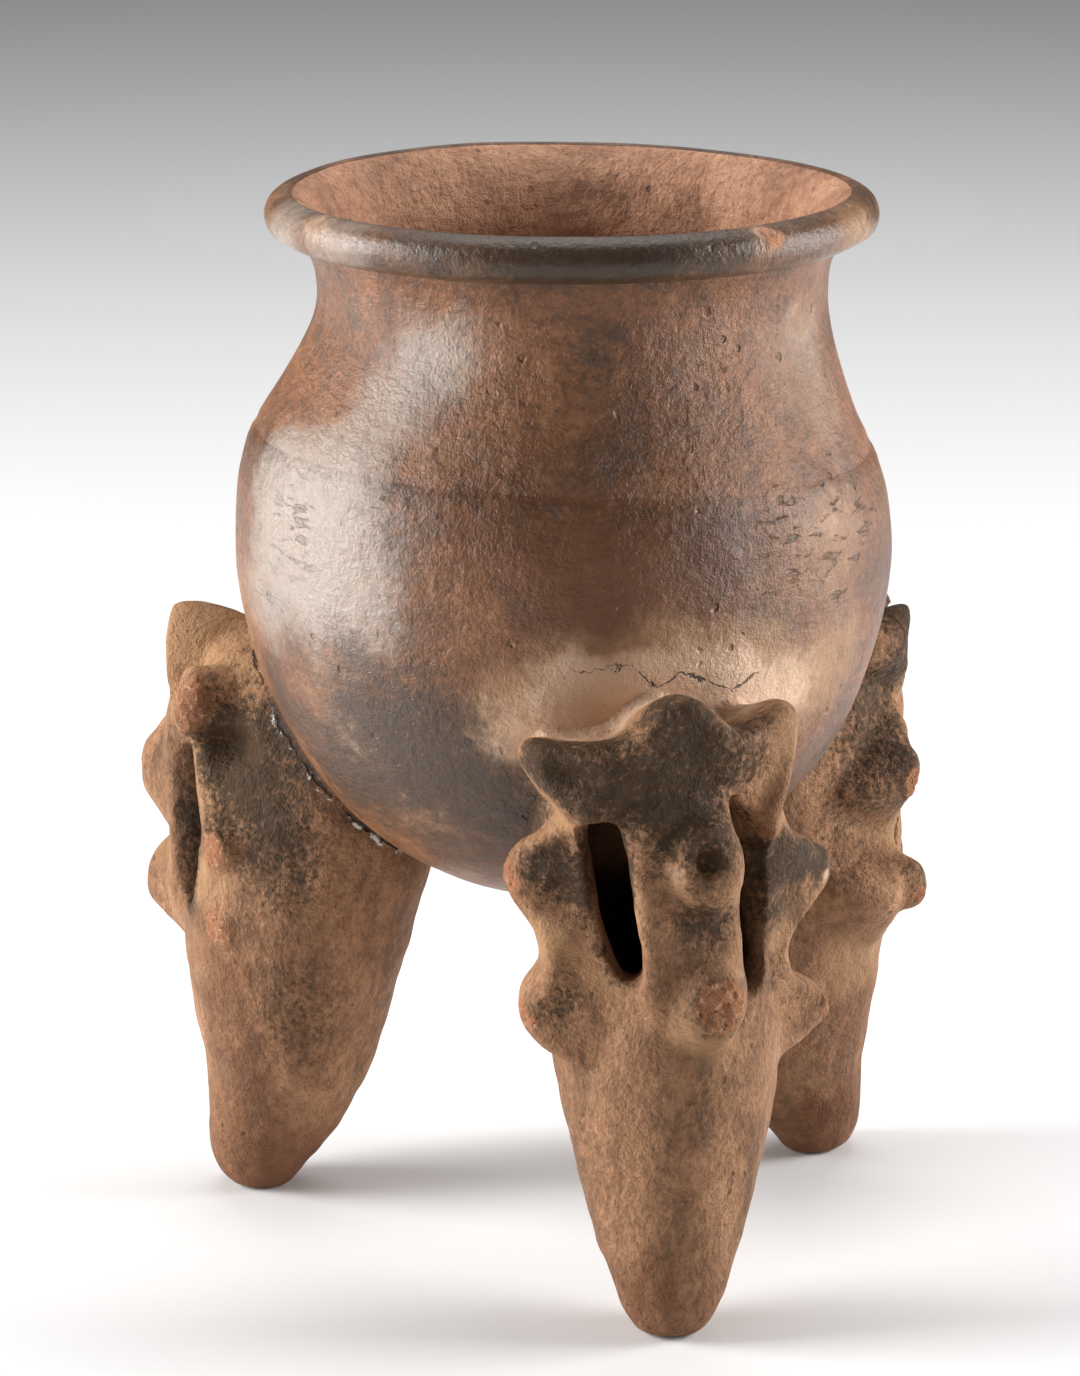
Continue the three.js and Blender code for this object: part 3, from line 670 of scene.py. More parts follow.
# Marks on a leg's clay, in its axes: outwards, sideways, height, radius, strength
LEG_MARKS = {
    ("front", "soot_and_shade"): [
        (79, -3, 110, 15, 0.9), (76, -16, 110, 12, 0.9), (72, -26, 112, 9, 1), (70, -28, 113, 6, 1),
        (77, -3, 120, 9, 0.9), (74, 7, 114, 9, 0.7), (70, 12, 119, 6, 0.4), (78, -3, 98, 12, 0.7),
        (66, 24, 88, 9, 1), (70, 16, 90, 8, 0.95), (61, 30, 86, 7, 1), (68, 17, 80, 7, 0.7),
        (68, -22, 90, 9, 0.85), (70, -17, 84, 7, 0.8), (64, -26, 90, 6, 0.6), (70, -14, 92, 7, 0.9),
        (64, 26, 60, 7, 0.5), (66, -22, 64, 7, 0.7), (79, 0, 83, 8, 0.75), (83, -0.9, 95, 4, 1),
        (81, 3, 67.6, 8.4, 0.6), (77, -8, 104, 8, 0.6), (67, 18, 68, 6, 0.4)],
    ("front", "tan"): [
        (68, -21, 102, 6, 0.8), (70, 20, 112, 9, 1), (66, 18, 103, 8, 1), (64, -24, 76, 7, 1),
        (66, 22, 72, 7, 1), (77, 2, 62, 12, 0.7), (70, 17, 97, 5, 0.7), (56, -26, 101, 14, 0.8),
        (77, 5, 75, 8, 0.5), (80, -5, 92, 6, 0.6), (55, -24, 112, 14, 0.7), (55, 26, 104, 12, 0.5),
        (66, 0, 124, 12, 0.7), (70, -16, 70, 8, 0.7), (68, 20, 54, 8, 0.4)],
    ("front", "pale"): [
        (70, 4, 124.5, 4, 0.6), (66, 0, 123, 6, 0.7), (60, 14, 120, 6, 0.6), (62, -22, 117, 5, 0.5),
        # The mark at (81, -6, 92) is a painted highlight on the upper nub
        (81, -6, 92, 4, 0.35), (58, -24, 104, 6, 0.5), (60, 31.5, 81.5, 2.2, 0.8),
        (60, 31.5, 86.5, 1.8, 0.7), (58, 32.5, 60.4, 1.6, 0.9), (78, 6, 72, 4, 0.4),
        (70, 20, 119, 3, 0.7)],
    ("front", "red"): [
        (60, 0, 8, 20, 0.8), (62, 10, 28, 14, 0.35)],
    ("front", "scar"): [
        (59, -31, 87.6, 5, 1), (59, -28, 61, 4.4, 0.9), (83, 3.2, 67.6, 5.8, 1),
        (58, 32.4, 58, 3.4, 0.9)],
    ("left", "soot_and_shade"): [
        # The first mark below is painted shadow in the hollow under the knob of the broken arm
        (62, 19, 92, 11, 1), (56, 21, 84, 13, 0.8), (68.4, 19, 101.4, 7, 1), (50, 24, 72, 14, 0.55),
        (64, 21, 76, 6, 0.7), (52, 24, 96, 12, 0.6), (60, -25, 84, 12, 0.6), (78, -4, 104, 12, 0.4),
        (46, 24, 40, 18, 0.4)],
    ("left", "tan"): [
        (77, 2, 111, 13, 1), (70, 6, 110, 12, 0.9), (69, 15, 86, 9, 1), (68, 17, 87, 5, 0.8),
        (72, 12, 98, 8, 0.8), (66, 16, 66, 8, 0.8), (80, 0, 70, 12, 0.6), (62, 8, 110, 12, 0.7),
        (58, 20, 108, 10, 0.7), (70, 14, 50, 12, 0.5)],
    ("left", "red"): [
        (60, 0, 8, 24, 0.9), (66, 16, 48, 13, 0.8), (62, 12, 30, 16, 0.6)],
    ("left", "scar"): [
        (69, 20, 101.6, 6.6, 0.55), (65, 22, 72.6, 4.8, 0.9), (65, 21, 57.4, 5, 0.8),
        (86, 0, 83, 3, 0.6)],
    ("right", "soot_and_shade"): [
        (68, -15, 109, 14, 0.95), (60, -16, 98, 14, 0.7), (55, -20, 84, 15, 0.6), (63, -24, 84, 9, 0.5),
        (76, 0, 104, 16, 0.8), (62, 28, 82, 12, 0.7), (66, -26, 62, 5, 0.5), (50, -22, 70, 12, 0.3)],
    ("right", "tan"): [
        (66, -16, 94, 7, 0.9), (65, -17, 70, 9, 0.9), (77, 0, 70, 12, 0.5), (60, -14, 46, 16, 0.6),
        (56, -16, 78, 9, 0.4)],
    ("right", "red"): [
        (60, 0, 8, 22, 0.8), (58, -10, 34, 18, 0.5)],
    ("right", "scar"): [
        (65, -27.6, 80, 5, 1), (66, -27, 58, 2.6, 0.8)],
}
MARK_KINDS = ("ash_and_sheen", "soot_and_shade", "red", "tan", "pale", "gouges", "scar")

# Painted shade in the slits, laid into the soot field: how far out it lies, how far it reaches and how
# far apart its spots are
slit_shade_out = 71.5
slit_shade_radius = 5.6
slit_shade_step = 4.0


def marks():
    """Every mark as kind, world place, radius and strength."""
    for kind, rows in POT_MARKS.items():
        for bearing, height, radius, strength in rows:
            yield kind, on_pot(bearing, height), radius, strength
    for (name, kind), rows in LEG_MARKS.items():
        for out, across, height, radius, strength in rows:
            yield kind, leg_place(name) @ Vector((out, across, height)), radius, strength
    # Painted shade in each slit, as a row of soot marks
    for name, fitting in FITTINGS.items():
        for outline, inner_edge in fitting["slits"]:
            low, high = min(row[1] for row in outline), max(row[1] for row in outline)
            for height in np.arange(low + 4, high - 3, slit_shade_step):
                middle = Vector((slit_shade_out, inner_edge * 1.08, height))
                yield "soot_and_shade", leg_place(name) @ middle, slit_shade_radius, 1.0


def mark_clay(mesh, points):
    """Writes the clay's marks on a mesh, one attribute for each kind, and returns them."""
    drift = np.column_stack([waves(points, 11.0, seed) for seed in (11, 12, 13)])
    fine = np.column_stack([waves(points, 4.0, seed) for seed in (14, 15, 16)])
    warped = points + 2.2 * drift + 0.7 * fine
    ragged = points + 0.9 * fine + 0.5 * drift
    bare = {kind: np.ones(len(points)) for kind in MARK_KINDS}
    for kind, middle, radius, strength in marks():
        from_middle = ragged if kind == "scar" else warped
        distance = np.linalg.norm(from_middle - np.array(middle), axis=1)
        edge = 0.6 if kind == "scar" else 0.2
        bare[kind] *= 1 - strength * (1 - smooth_step(distance, radius * edge, radius * 1.15))

    # Painted shade in the crease just below the ridge: a dark line and a softer band, laid into the
    # soot field
    below_ridge = 154.4 + 1.1 * waves(points, 24.0, 17) - 0.7 * fine[:, 0] - points[:, 2]
    on_bowl = 1 - smooth_step(pot_distance(points), 0.4, 1.6)
    line = 0.34 * bell(below_ridge, 0.4, 0.8)
    shade = 0.20 * smooth_step(below_ridge, -0.3, 0.7) * (1 - smooth_step(below_ridge, 3.0, 14.0))
    bare["soot_and_shade"] *= 1 - np.maximum(line, shade) * on_bowl
    marked = {kind: 1 - left for kind, left in bare.items()}
    write_fields(mesh, **marked)
    return marked


# The crack over the front leg: bearing in degrees, and height
CRACK_LINE = [
    (-15, 124.2), (-12.2, 124), (-9.5, 125), (-5.2, 124.4), (-2, 121.8), (1.3, 121.3), (3, 122.6),
    (5.4, 122), (9, 120.6), (13.8, 118.4), (16.6, 119.9), (19, 121.4),
]


def crack_fields(mesh, points, beside=0.0):
    """How far a point is above the crack over the front leg, and whether it is beside its length."""
    bearing = np.degrees(bearings(points, belly))
    crack = np.array(CRACK_LINE)
    rise = points[:, 2] - np.interp(bearing, crack[:, 0], crack[:, 1])
    reach = smooth_step(bearing, -16.5, -13.0) * (1 - smooth_step(bearing, 16.0, 20.0))
    reach *= (1 - smooth_step(np.abs(rise), 4.0, 6.0)) * (1 - smooth_step(beside, 0.5, 1.3))
    write_fields(mesh, crack_rise=np.clip(rise, -6, 6), crack_reach=reach)


# What the seam field says far away from any seam, in millimetres
no_seam = 20.0


def seam_field(name, points, beside):
    """Distance from the joint of bowl and leg, where the left leg was broken off and mended."""
    if name != "left":
        return np.full(len(points), no_seam)
    near_side = smooth_step(np.degrees(bearings(points, belly)), -128.0, -118.0)
    return np.where(near_side > 0.02, beside - 1.1 + 12 * (1 - near_side), no_seam)


def chamber_field(leg, points):
    """How far inside a leg a point is, 1 in its rattle chamber."""
    rows, height = np.array(list(leg_levels(leg))), points[:, 2]
    out, across, depth, width = (np.interp(height, rows[:, 0], rows[:, k]) for k in (1, 2, 3, 4))
    from_axis = np.hypot((points[:, 0] - out) / depth, (points[:, 1] - across) / width)
    within = smooth_step(height, 30.0, 44.0) * (1 - smooth_step(height, 98.0, 104.0))
    return (1 - smooth_step(from_axis, 0.74, 0.92)) * within


def finished(piece, material, slot, *nodes, body="root"):
    """Makes a piece metres, smooth and dressed, and lets it ride and stand for its CAD nodes."""
    piece.data.transform(Matrix.Scale(MM, 4))
    piece.data.materials.clear()
    piece.data.materials.append(material)
    piece.data.shade_smooth()
    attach(piece, body)
    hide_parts(*nodes)


def pot_piece(name, profile, material, slot, node, closed=True, crown=None):
    """One turned piece of the pot, uneven as the hand left it, with its marks."""
    piece = mesh_object(turned(profile, closed=closed), name)
    mesh = piece.data
    mesh.shade_smooth()
    points = positions(mesh)
    mark_clay(mesh, points)
    crack_fields(mesh, points)
    inside = smooth_step(-pot_distance(points), 1.6, 3.2)
    if crown:
        inside = np.maximum(inside, smooth_step(points[:, 2], crown, crown + 0.8))
    nothing = np.zeros(len(points))
    write_fields(mesh, inside=inside, leg_share=nothing, relief=nothing, seam=nothing + no_seam)
    set_positions(mesh, hand_wobble(points))
    finished(piece, material, slot, node)
    mesh.set_sharp_from_angle(angle=radians(42))


def make_pot():
    """Bowl, upper wall and rim."""
    outside = smooth_rows(BOWL_LINE, 5)
    inside = thinned(outside, pot_wall)
    inside[0] = (0, outside[0][1] + bowl_floor)
    inside[-1] = (BOWL_LINE[-1][0] - pot_wall, ridge_height)
    profile = [*outside, *inside[::-1]]
    pot_piece("pot_bowl", profile, clays["bowl"], "bowl_clay", "bowl", closed=False)

    profile = smooth_rows(WALL_LINE, 5) + smooth_rows(WALL_INSIDE, 5)[::-1]
    pot_piece("pot_upper_wall", profile, clays["wall"], "wall_clay", "upper_wall", crown=wall_crown)
    pot_piece("pot_rim_coil", smooth_rows(RIM_LINE, 6), clays["rim"], "rim_clay", "rim_coil")


def solid_bowl(grow, name, to_leg):
    """The bowl as a full solid in a leg's axes, moved outwards by grow."""
    outside = thinned(smooth_rows(BOWL_LINE, 4), -grow)
    profile = [(0, BOWL_LINE[0][1] - grow), *outside[1:], (0, ridge_height)]
    solid = mesh_object(turned(profile, steps=160, closed=False), name)
    solid.data.transform(to_leg)
    return solid


def leg_form(leg, fitting, to_leg):
    """A leg's clay before it is smoothed: body, crest, wings, strap, spikes, nubs and bowl patch."""
    bm = bmesh.new()
    add_leg_body(bm, leg)
    row = leg["crest"]
    below, amount = crest_lean
    add_plate(bm, fitting["crest"], CREST_LEVELS, fitting["crest_middle"], fitting["crest_face"],
              lambda height: amount * max(row - below - height, 0) ** 2)
    wing_below, wing_amount = wing_lean
    aside, under_row = wing_middle
    for outline in fitting["wings"]:
        middle = (aside if outline[0][0] > 0 else -aside, row - under_row)
        add_plate(bm, outline, WING_LEVELS, middle, fitting["wing_face"],
                  lambda height: wing_amount * max(row - wing_below - height, 0), centre=0.0)
    stack(bm, [row_place(level) for level in smooth_rows(fitting["strap"], 3)], BAND)
    for spike in fitting["spikes"]:
        add_spike(bm, *spike)
    for nub in fitting["nubs"]:
        add_nub(bm, *nub)

    patch = solid_bowl(-patch_inset, "patch", to_leg)
    ball = bmesh.new()
    bmesh.ops.create_uvsphere(ball, u_segments=64, v_segments=32, radius=patch_radius,
                              matrix=Matrix.Translation(patch_middle))
    cut_by(patch, mesh_object(ball, "ball"), "INTERSECT")
    bm.from_mesh(patch.data)
    discarded(patch)
    return bm


def leg_skin(name):
    """One leg with all that was pinched or laid on it, as the hand smoothed it into the bowl."""
    leg, fitting, to_world = LEGS[name], FITTINGS[name], leg_place(name)
    to_leg = to_world.inverted()
    skin = mesh_object(leg_form(leg, fitting, to_leg), f"{name}_leg")
    worked(skin, "REMESH", mode="VOXEL", voxel_size=form_voxel)
    smoothed(skin, 9)

    # The thumb-smoothed joint with the bowl, narrower where the left leg was mended
    joint_width, joint_smoothing = (2.6, 26) if name == "left" else (3.4, 40)
    joint = bell(pot_distance(moved_by(to_world, positions(skin.data))), 1.5, joint_width)
    group = skin.vertex_groups.new(name="joint")
    for index in np.nonzero(joint > 0.05)[0]:
        group.add([int(index)], float(joint[index]), "REPLACE")
    smoothed(skin, joint_smoothing, vertex_group="joint")
    skin.vertex_groups.clear()

    # The rattle chamber, the sound slits and the pot's own space are cut out
    cutter = bmesh.new()
    add_chamber(cutter, leg)
    cutters = [mesh_object(cutter, "chamber")]
    for outline, inner_edge in fitting["slits"]:
        cutter = bmesh.new()
        add_slit(cutter, outline, inner_edge)
        cutters.append(mesh_object(cutter, "slit"))
    cutters.append(solid_bowl(-core_inset, "core", to_leg))
    for cutter in cutters:
        cut_by(skin, cutter, "DIFFERENCE")
    worked(skin, "REMESH", mode="VOXEL", voxel_size=skin_voxel)
    smoothed(skin, 3)

    # How far each point stands out of its surroundings
    mesh = skin.data
    points, facing = positions(mesh), normals(mesh)
    plain = skin.copy()
    plain.data = mesh.copy()
    bpy.context.scene.collection.objects.link(plain)
    smoothed(plain, 24)
    relief = ((points - positions(plain.data)) * facing).sum(axis=1)
    discarded(plain)

    # Dents of the fingers, rough breaks and the worn foot
    world = moved_by(to_world, points)
    mesh.transform(to_world)
    facing = normals(mesh)
    worn = mark_clay(mesh, world)
    beside = pot_distance(world)
    crack_fields(mesh, world, beside)
    free = smooth_step(beside, 0.5, 5.0)
    lumps = 0.32 * waves(world, 13.0, 21) + 0.16 * waves(world, 5.5, 22)
    rough = worn["scar"] * (0.55 * waves(world, 2.6, 23) + 0.3 * waves(world, 1.3, 24) - 0.35)
    dents = np.zeros(len(points))
    for middle, radius, depth in FINGER_DENTS.get(name, []):
        away = np.linalg.norm((points - np.array(middle)) / np.array(radius), axis=1)
        dents -= depth * (1 - smooth_step(away, 0.15, 1.0))
    world = world + facing * (free * lumps + rough + dents)[:, None]
    world[:, 2] -= world[:, 2].min() * (1 - smooth_step(world[:, 2], 0.0, 20.0))
    write_fields(
        mesh, chamber=chamber_field(leg, points), relief=relief, inside=np.zeros(len(points)),
        leg_share=smooth_step(beside, 0.3, 5.5), seam=seam_field(name, world, beside))
    set_positions(mesh, hand_wobble(world))
    finished(skin, clays["leg"], "leg_clay", *(f"{name}_{part}" for part in (
        "leg_shell", "strap", "crest", "upper_spike_left", "upper_spike_right", "lower_spike_left",
        "lower_spike_right", "upper_nub", "lower_nub")))


class Signal:
    """A node's output in its tree. Sums, differences and products of signals are Math nodes."""

    def __init__(self, tree, socket):
        self.tree, self.socket = tree, socket

    def __add__(self, other):
        return calc("ADD", self, other)

    def __radd__(self, other):
        return calc("ADD", other, self)

    def __sub__(self, other):
        return calc("SUBTRACT", self, other)

    def __rsub__(self, other):
        return calc("SUBTRACT", other, self)

    def __mul__(self, other):
        return calc("MULTIPLY", self, other)

    def also(self, output):
        """Another output of the same node."""
        return Signal(self.tree, self.socket.node.outputs[output])


def feed(socket, value):
    """Links a signal to a socket, or gives the socket a value of its own."""
    if isinstance(value, Signal):
        value.tree.links.new(value.socket, socket)
    else:
        socket.default_value = (*value, 1) if socket.type == "RGBA" else value


def node(tree, kind, sockets=None, output=0, **settings):
    """A new node's output, once its settings are made and its sockets fed."""
    made = tree.nodes.new(kind)
    for key, value in settings.items():
        setattr(made, key, value)
    for key, value in (sockets or {}).items():
        feed(made.inputs[key], value)
    return Signal(tree, made.outputs[output])


def calc(operation, a, b=0.0, clamp=False):
    """A Math node's result."""
    tree = (a if isinstance(a, Signal) else b).tree
    return node(tree, "ShaderNodeMath", {0: a, 1: b}, operation=operation, use_clamp=clamp)


def ramp(value, low, high):
    """0 below low, 1 above high, smooth between."""
    return node(value.tree, "ShaderNodeMapRange", {"Value": value, "From Min": low, "From Max": high},
                "Result", interpolation_type="SMOOTHSTEP")


def scaled(vector, *scale):
    """A vector scaled along each axis, which stretches the pattern that is drawn with it."""
    return node(vector.tree, "ShaderNodeMapping", {"Vector": vector, "Scale": scale})


def grain(vector, scale, detail=3.0, roughness=0.55, distortion=0.0):
    """Noise of so many waves a metre."""
    return node(vector.tree, "ShaderNodeTexNoise", {
        "Vector": vector, "Scale": scale, "Detail": detail, "Roughness": roughness,
        "Distortion": distortion}, "Fac")


def blend(share, first, second):
    """Two colours mixed by a share."""
    return node(share.tree, "ShaderNodeMix", {0: share, 6: first, 7: second}, 2, data_type="RGBA")


def bumped(height, strength):
    """A height in millimetres as a bump."""
    return node(height.tree, "ShaderNodeBump", {"Height": height, "Distance": MM, "Strength": strength})


def group(name, inputs, *outputs):
    """A new node group's inputs as signals, and its outputs' sockets.

    Inputs have their defaults: a number, a colour, or None for a vector. An output is a number
    unless it is named Color.
    """
    tree = bpy.data.node_groups.new(name, "ShaderNodeTree")
    for label, default in inputs.items():
        kind = "Vector" if default is None else "Color" if isinstance(default, tuple) else "Float"
        socket = tree.interface.new_socket(label, in_out="INPUT", socket_type=f"NodeSocket{kind}")
        if default is not None:
            socket.default_value = (*default, 1) if kind == "Color" else default
    for label in outputs:
        kind = "Color" if label == "Color" else "Float"
        tree.interface.new_socket(label, in_out="OUTPUT", socket_type=f"NodeSocket{kind}")
    given = tree.nodes.new("NodeGroupInput").outputs
    signals = {label: Signal(tree, given[label]) for label in inputs}
    return signals, tree.nodes.new("NodeGroupOutput").inputs


def placed(kind, vector, output, sockets):
    """An output of a shared node group, at work on a vector."""
    return node(vector.tree, "ShaderNodeGroup", {"Vector": vector, **sockets}, output,
                node_tree=groups[kind])


def clay_mottling():
    """Fired clay's colour: broad clouds, brushed streaks and fine specks between three tones."""
    given, out = group("clay_mottling", {
        "Vector": None, "Light": (0.3, 0.18, 0.11), "Middle": (0.2, 0.1, 0.06),
        "Dark": (0.08, 0.05, 0.03), "Cloud size": 45.0}, "Color")
    vector, light, middle, dark, cloud_size = given.values()
    clouds = grain(vector, cloud_size, 7.0, 0.66, 0.5) * 0.62
    streaks = grain(scaled(vector, 1, 1, 3), 120.0, 5.0, 0.7, 0.3) * 0.18
    blots = grain(vector, 420.0, 5.0, 0.7) * 0.32
    body = clouds + streaks + (blots - 0.06)
    colour = blend(ramp(body, 0.38, 0.54), dark, middle)
    colour = blend(ramp(body, 0.49, 0.66), colour, light)
    specks = grain(vector, 1100.0, 3.0, 0.7)
    colour = blend(ramp(specks, 0.53, 0.66) * 0.7, colour, dark)
    colour = blend(ramp(specks, 0.46, 0.32) * 0.45, colour, light)
    feed(out["Color"], colour)
    return colour.tree


def clay_stain():
    """Lays a stain over a colour, with its edge broken up by the clay's grain."""
    given, out = group("clay_stain", {
        "Vector": None, "Color": (0.2, 0.1, 0.06), "Stain": (0.05, 0.04, 0.03), "Amount": 0.0,
        "Grain size": 260.0, "Raggedness": 0.5, "Strength": 1.0}, "Color", "Mask")
    vector, colour, stain, amount, size, raggedness, strength = given.values()
    ragged = (grain(vector, size, 5.0, 0.68, 0.3) - 0.5) * raggedness
    here = amount + ragged * 2.0
    mask = ramp(here, 0.12, 0.9) * ramp(amount, 0.0, 0.12)
    mask = calc("MULTIPLY", mask, strength, clamp=True)
    feed(out["Color"], blend(mask, colour, stain))
    feed(out["Mask"], mask)
    return mask.tree


def surface_grain():
    """The clay's fine surface: soft dents, sand grains, pits and fine scratches, as a height."""
    given, out = group(
        "surface_grain", {"Vector": None, "Roughness": 1.0, "Pits": 1.0, "Scar": 0.0},
        "Height", "Pit mask")
    vector, roughness, pits, scar = given.values()
    tree = vector.tree
    dents = grain(vector, 190.0, 2.0)
    sand = grain(vector, 620.0, 4.0, 0.72) * 1.15
    dust = grain(vector, 2300.0, 3.0, 0.7) * 0.26
    strokes = grain(scaled(vector, 1, 1, 7), 120.0, 4.0, 0.6) * 0.40
    height = (dents + sand + (dust + strokes)) * roughness

    # Pits are a few of the cells of a pattern, in clusters
    jitter = node(tree, "ShaderNodeTexNoise", {"Vector": vector, "Scale": 500.0}, "Color")
    moved = node(tree, "ShaderNodeMix", {0: 0.0016, 4: vector, 5: jitter}, 1, data_type="VECTOR")
    from_cell = node(tree, "ShaderNodeTexVoronoi", {"Vector": moved, "Scale": 330.0}, "Distance")
    chosen = ramp(node(tree, "ShaderNodeSeparateColor", {0: from_cell.also("Color")}), 0.80, 0.86)
    clusters = ramp(grain(vector, 55.0, 2.0), 0.44, 0.62)
    pit = ramp(from_cell, 0.30, 0.12) * chosen * clusters
    pit = calc("MULTIPLY", pit, pits, clamp=True)
    crumbs = grain(vector, 620.0, 5.0, 0.8) * 2.2
    feed(out["Height"], height - pit * 0.55 + crumbs * scar)
    feed(out["Pit mask"], pit)
    return tree


def fine_crack():
    """A thin wandering line where a distance in millimetres comes to nothing."""
    given, out = group("fine_crack", {
        "Vector": None, "Distance": 10.0, "Reach": 1.0, "Width": 0.2, "Wander": 1.0}, "Mask")
    vector, distance, reach, width, wander = given.values()
    wandering = (grain(vector, 300.0, 4.0, 0.6) - 0.5) * (wander * 4.0)
    away = calc("ABSOLUTE", distance + wandering)
    thick = width * (ramp(grain(vector, 210.0, 3.0), 0.40, 0.62) + 0.12)
    line = 1.0 - ramp(calc("DIVIDE", away, thick), 0.5, 1.4)
    mask = calc("MULTIPLY", line, reach, clamp=True)
    feed(out["Mask"], mask)
    return mask.tree


def new_material(name):
    """A material, its shader's sockets and the object's own coordinates."""
    material = bpy.data.materials.new(name)
    material.use_nodes = True
    tree = material.node_tree
    shader = tree.nodes["Principled BSDF"].inputs
    return material, shader, node(tree, "ShaderNodeTexCoord", output="Object")


def mottled(vector, tones, size):
    """Clay's mottled colour in three tones."""
    light, middle, dark = tones
    return placed("mottling", vector, "Color", {
        "Light": light, "Middle": middle, "Dark": dark, "Cloud size": size})


def clay(name, pot_tones, leg_tones, gloss, shine_level, roughness, pits, bump):
    """A clay of the vessel: mottled, stained by smoke and ash, worn, broken, cracked, with painted
    shade and sheen.
    """
    material, shader, vector = new_material(name)

    def field(label):
        return node(vector.tree, "ShaderNodeAttribute", output="Fac", attribute_name=label,
                    attribute_type="GEOMETRY")

    def stained(colour, stain, amount, size, ragged, strength):
        made = placed("stain", vector, "Color", {
            "Color": colour, "Amount": amount, "Stain": stain, "Grain size": size,
            "Raggedness": ragged, "Strength": strength})
        return made, made.also("Mask")

    def cracked(distance, reach, width, wander):
        return placed("crack", vector, "Mask", {
            "Distance": distance, "Reach": reach, "Width": width, "Wander": wander})

    relief, scar, inside, seam = field("relief"), field("scar"), field("inside"), field("seam")
    colour = mottled(vector, pot_tones, 42.0)
    smoke_and_shade, smoke_and_shade_grain, smoke_and_shade_edge = SOOT_AND_SHADE, 380.0, 0.7
    if leg_tones:
        on_leg = field("leg_share")
        colour = blend(on_leg, colour, mottled(scaled(vector, 1.7, 1.7, 0.75), leg_tones, 46.0))
        smoke_and_shade, smoke_and_shade_grain, smoke_and_shade_edge = blend(on_leg, SOOT_AND_SHADE, LEG_SMOKE_AND_SHADE), 800.0, 1.25
    colour, _ = stained(colour, RED_CLAY, field("red"), 150.0, 0.45, 0.75)
    colour, _ = stained(colour, TAN_CLAY, field("tan"), 220.0, 0.4, 0.9)
    # Ash grey, partly a painted sheen of the lamps on the burnished clay
    colour, ash_and_sheen = stained(colour, ASH_AND_SHEEN, field("ash_and_sheen"), 330.0, 0.35, 0.85)
    # Smoke stains, together with the painted shade written into the soot field: in the crease below the
    # ridge, in the slits and under the left leg's knob
    colour, soot_and_shade = stained(colour, smoke_and_shade, field("soot_and_shade"), smoke_and_shade_grain, smoke_and_shade_edge, 0.93)
    colour, _ = stained(colour, PALE_CLAY, field("pale"), 300.0, 0.5, 0.85)
    colour, broken = stained(colour, BROKEN, scar, 520.0, 0.6, 0.95)
    crumbs = ramp(grain(vector, 700.0, 5.0, 0.8), 0.54, 0.62) * broken
    colour = blend(crumbs * 0.75, colour, SOOT_AND_SHADE)
    grit = ramp(grain(vector, 900.0, 3.0, 0.7), 0.44, 0.36) * broken
    colour = blend(grit * 0.7, colour, PALE_CLAY)
    if leg_tones:
        # Painted shade inside the rattle chamber, close to black
        colour = blend(field("chamber") * 0.94, colour, CRACK_AND_SHADE)
    else:
        colour = blend(inside, colour, mottled(vector, INSIDE_TONES, 55.0))
    # Painted shade in the leg's hollows: darker the further a point lies below its surroundings
    colour, _ = stained(colour, DIRT_AND_SHADE, ramp(relief, -0.12, -0.75), 500.0, 0.5, 0.45)
    colour, worn = stained(colour, WORN, ramp(relief, 0.28, 0.95), 900.0, 0.9, 0.6)

    surface = placed("grain", vector, "Height", {
        "Pits": pits, "Scar": scar, "Roughness": roughness + inside * 0.5})
    # Painted shade in the pits
    colour = blend(surface.also("Pit mask") * 0.55, colour, DIRT_AND_SHADE)
    drawn = grain(scaled(vector, 1, 1, 3.6), 150.0, 5.0, 0.62, 0.4)
    gouge = ramp(drawn, 0.57, 0.63) * field("gouges")
    colour = blend(gouge * 0.75, colour, DIRT_AND_SHADE)
    crack = cracked(field("crack_rise"), field("crack_reach"), 0.24, 1.2)
    dark_line = calc("MAXIMUM", crack, cracked(seam, 1.0, 0.36, 0.7))
    colour = blend(dark_line * 0.85, colour, CRACK_AND_SHADE)
    plaster = cracked(seam - 0.7, 1.0, 0.5, 0.8)
    plaster = plaster * ramp(grain(vector, 160.0, 5.0, 0.75), 0.49, 0.56)
    feed(shader["Base Color"], blend(plaster, colour, PLASTER))

    # Burnished where the slip is whole, matt where it is worn, broken or inside
    shine = gloss + (grain(vector, 90.0, 4.0, 0.6) - 0.5) * 0.35 - ash_and_sheen * 0.14 - soot_and_shade * 0.05
    shine = shine + worn * 0.12 + broken * 0.5 + inside * 0.22
    feed(shader["Roughness"], calc("MINIMUM", calc("MAXIMUM", shine, 0.22), 0.95))
    feed(shader["Specular IOR Level"], shine_level)
    height = surface - dark_line * 0.9 + plaster * 0.5 - gouge * 0.6
    feed(shader["Normal"], bumped(height, bump))
    return material


# Fired colours, linear, some of which also serve as painted shade and painted sheen
RED_CLAY = (0.135, 0.048, 0.018)
TAN_CLAY = (0.37, 0.205, 0.10)
# Ash grey, also used as painted sheen
ASH_AND_SHEEN = (0.33, 0.27, 0.225)
PALE_CLAY = (0.72, 0.49, 0.34)
# Soot, also the colour of the painted shade below the ridge
SOOT_AND_SHADE = (0.052, 0.031, 0.019)
# Smoke on the legs, also the colour of the painted shade in the slits and under the left leg's knob
LEG_SMOKE_AND_SHADE = (0.040, 0.022, 0.009)
# Dark fill of the gouges, also the colour of the painted shade in hollows and pits
DIRT_AND_SHADE = (0.07, 0.037, 0.02)
WORN = (0.46, 0.34, 0.25)
BROKEN = (0.52, 0.225, 0.115)
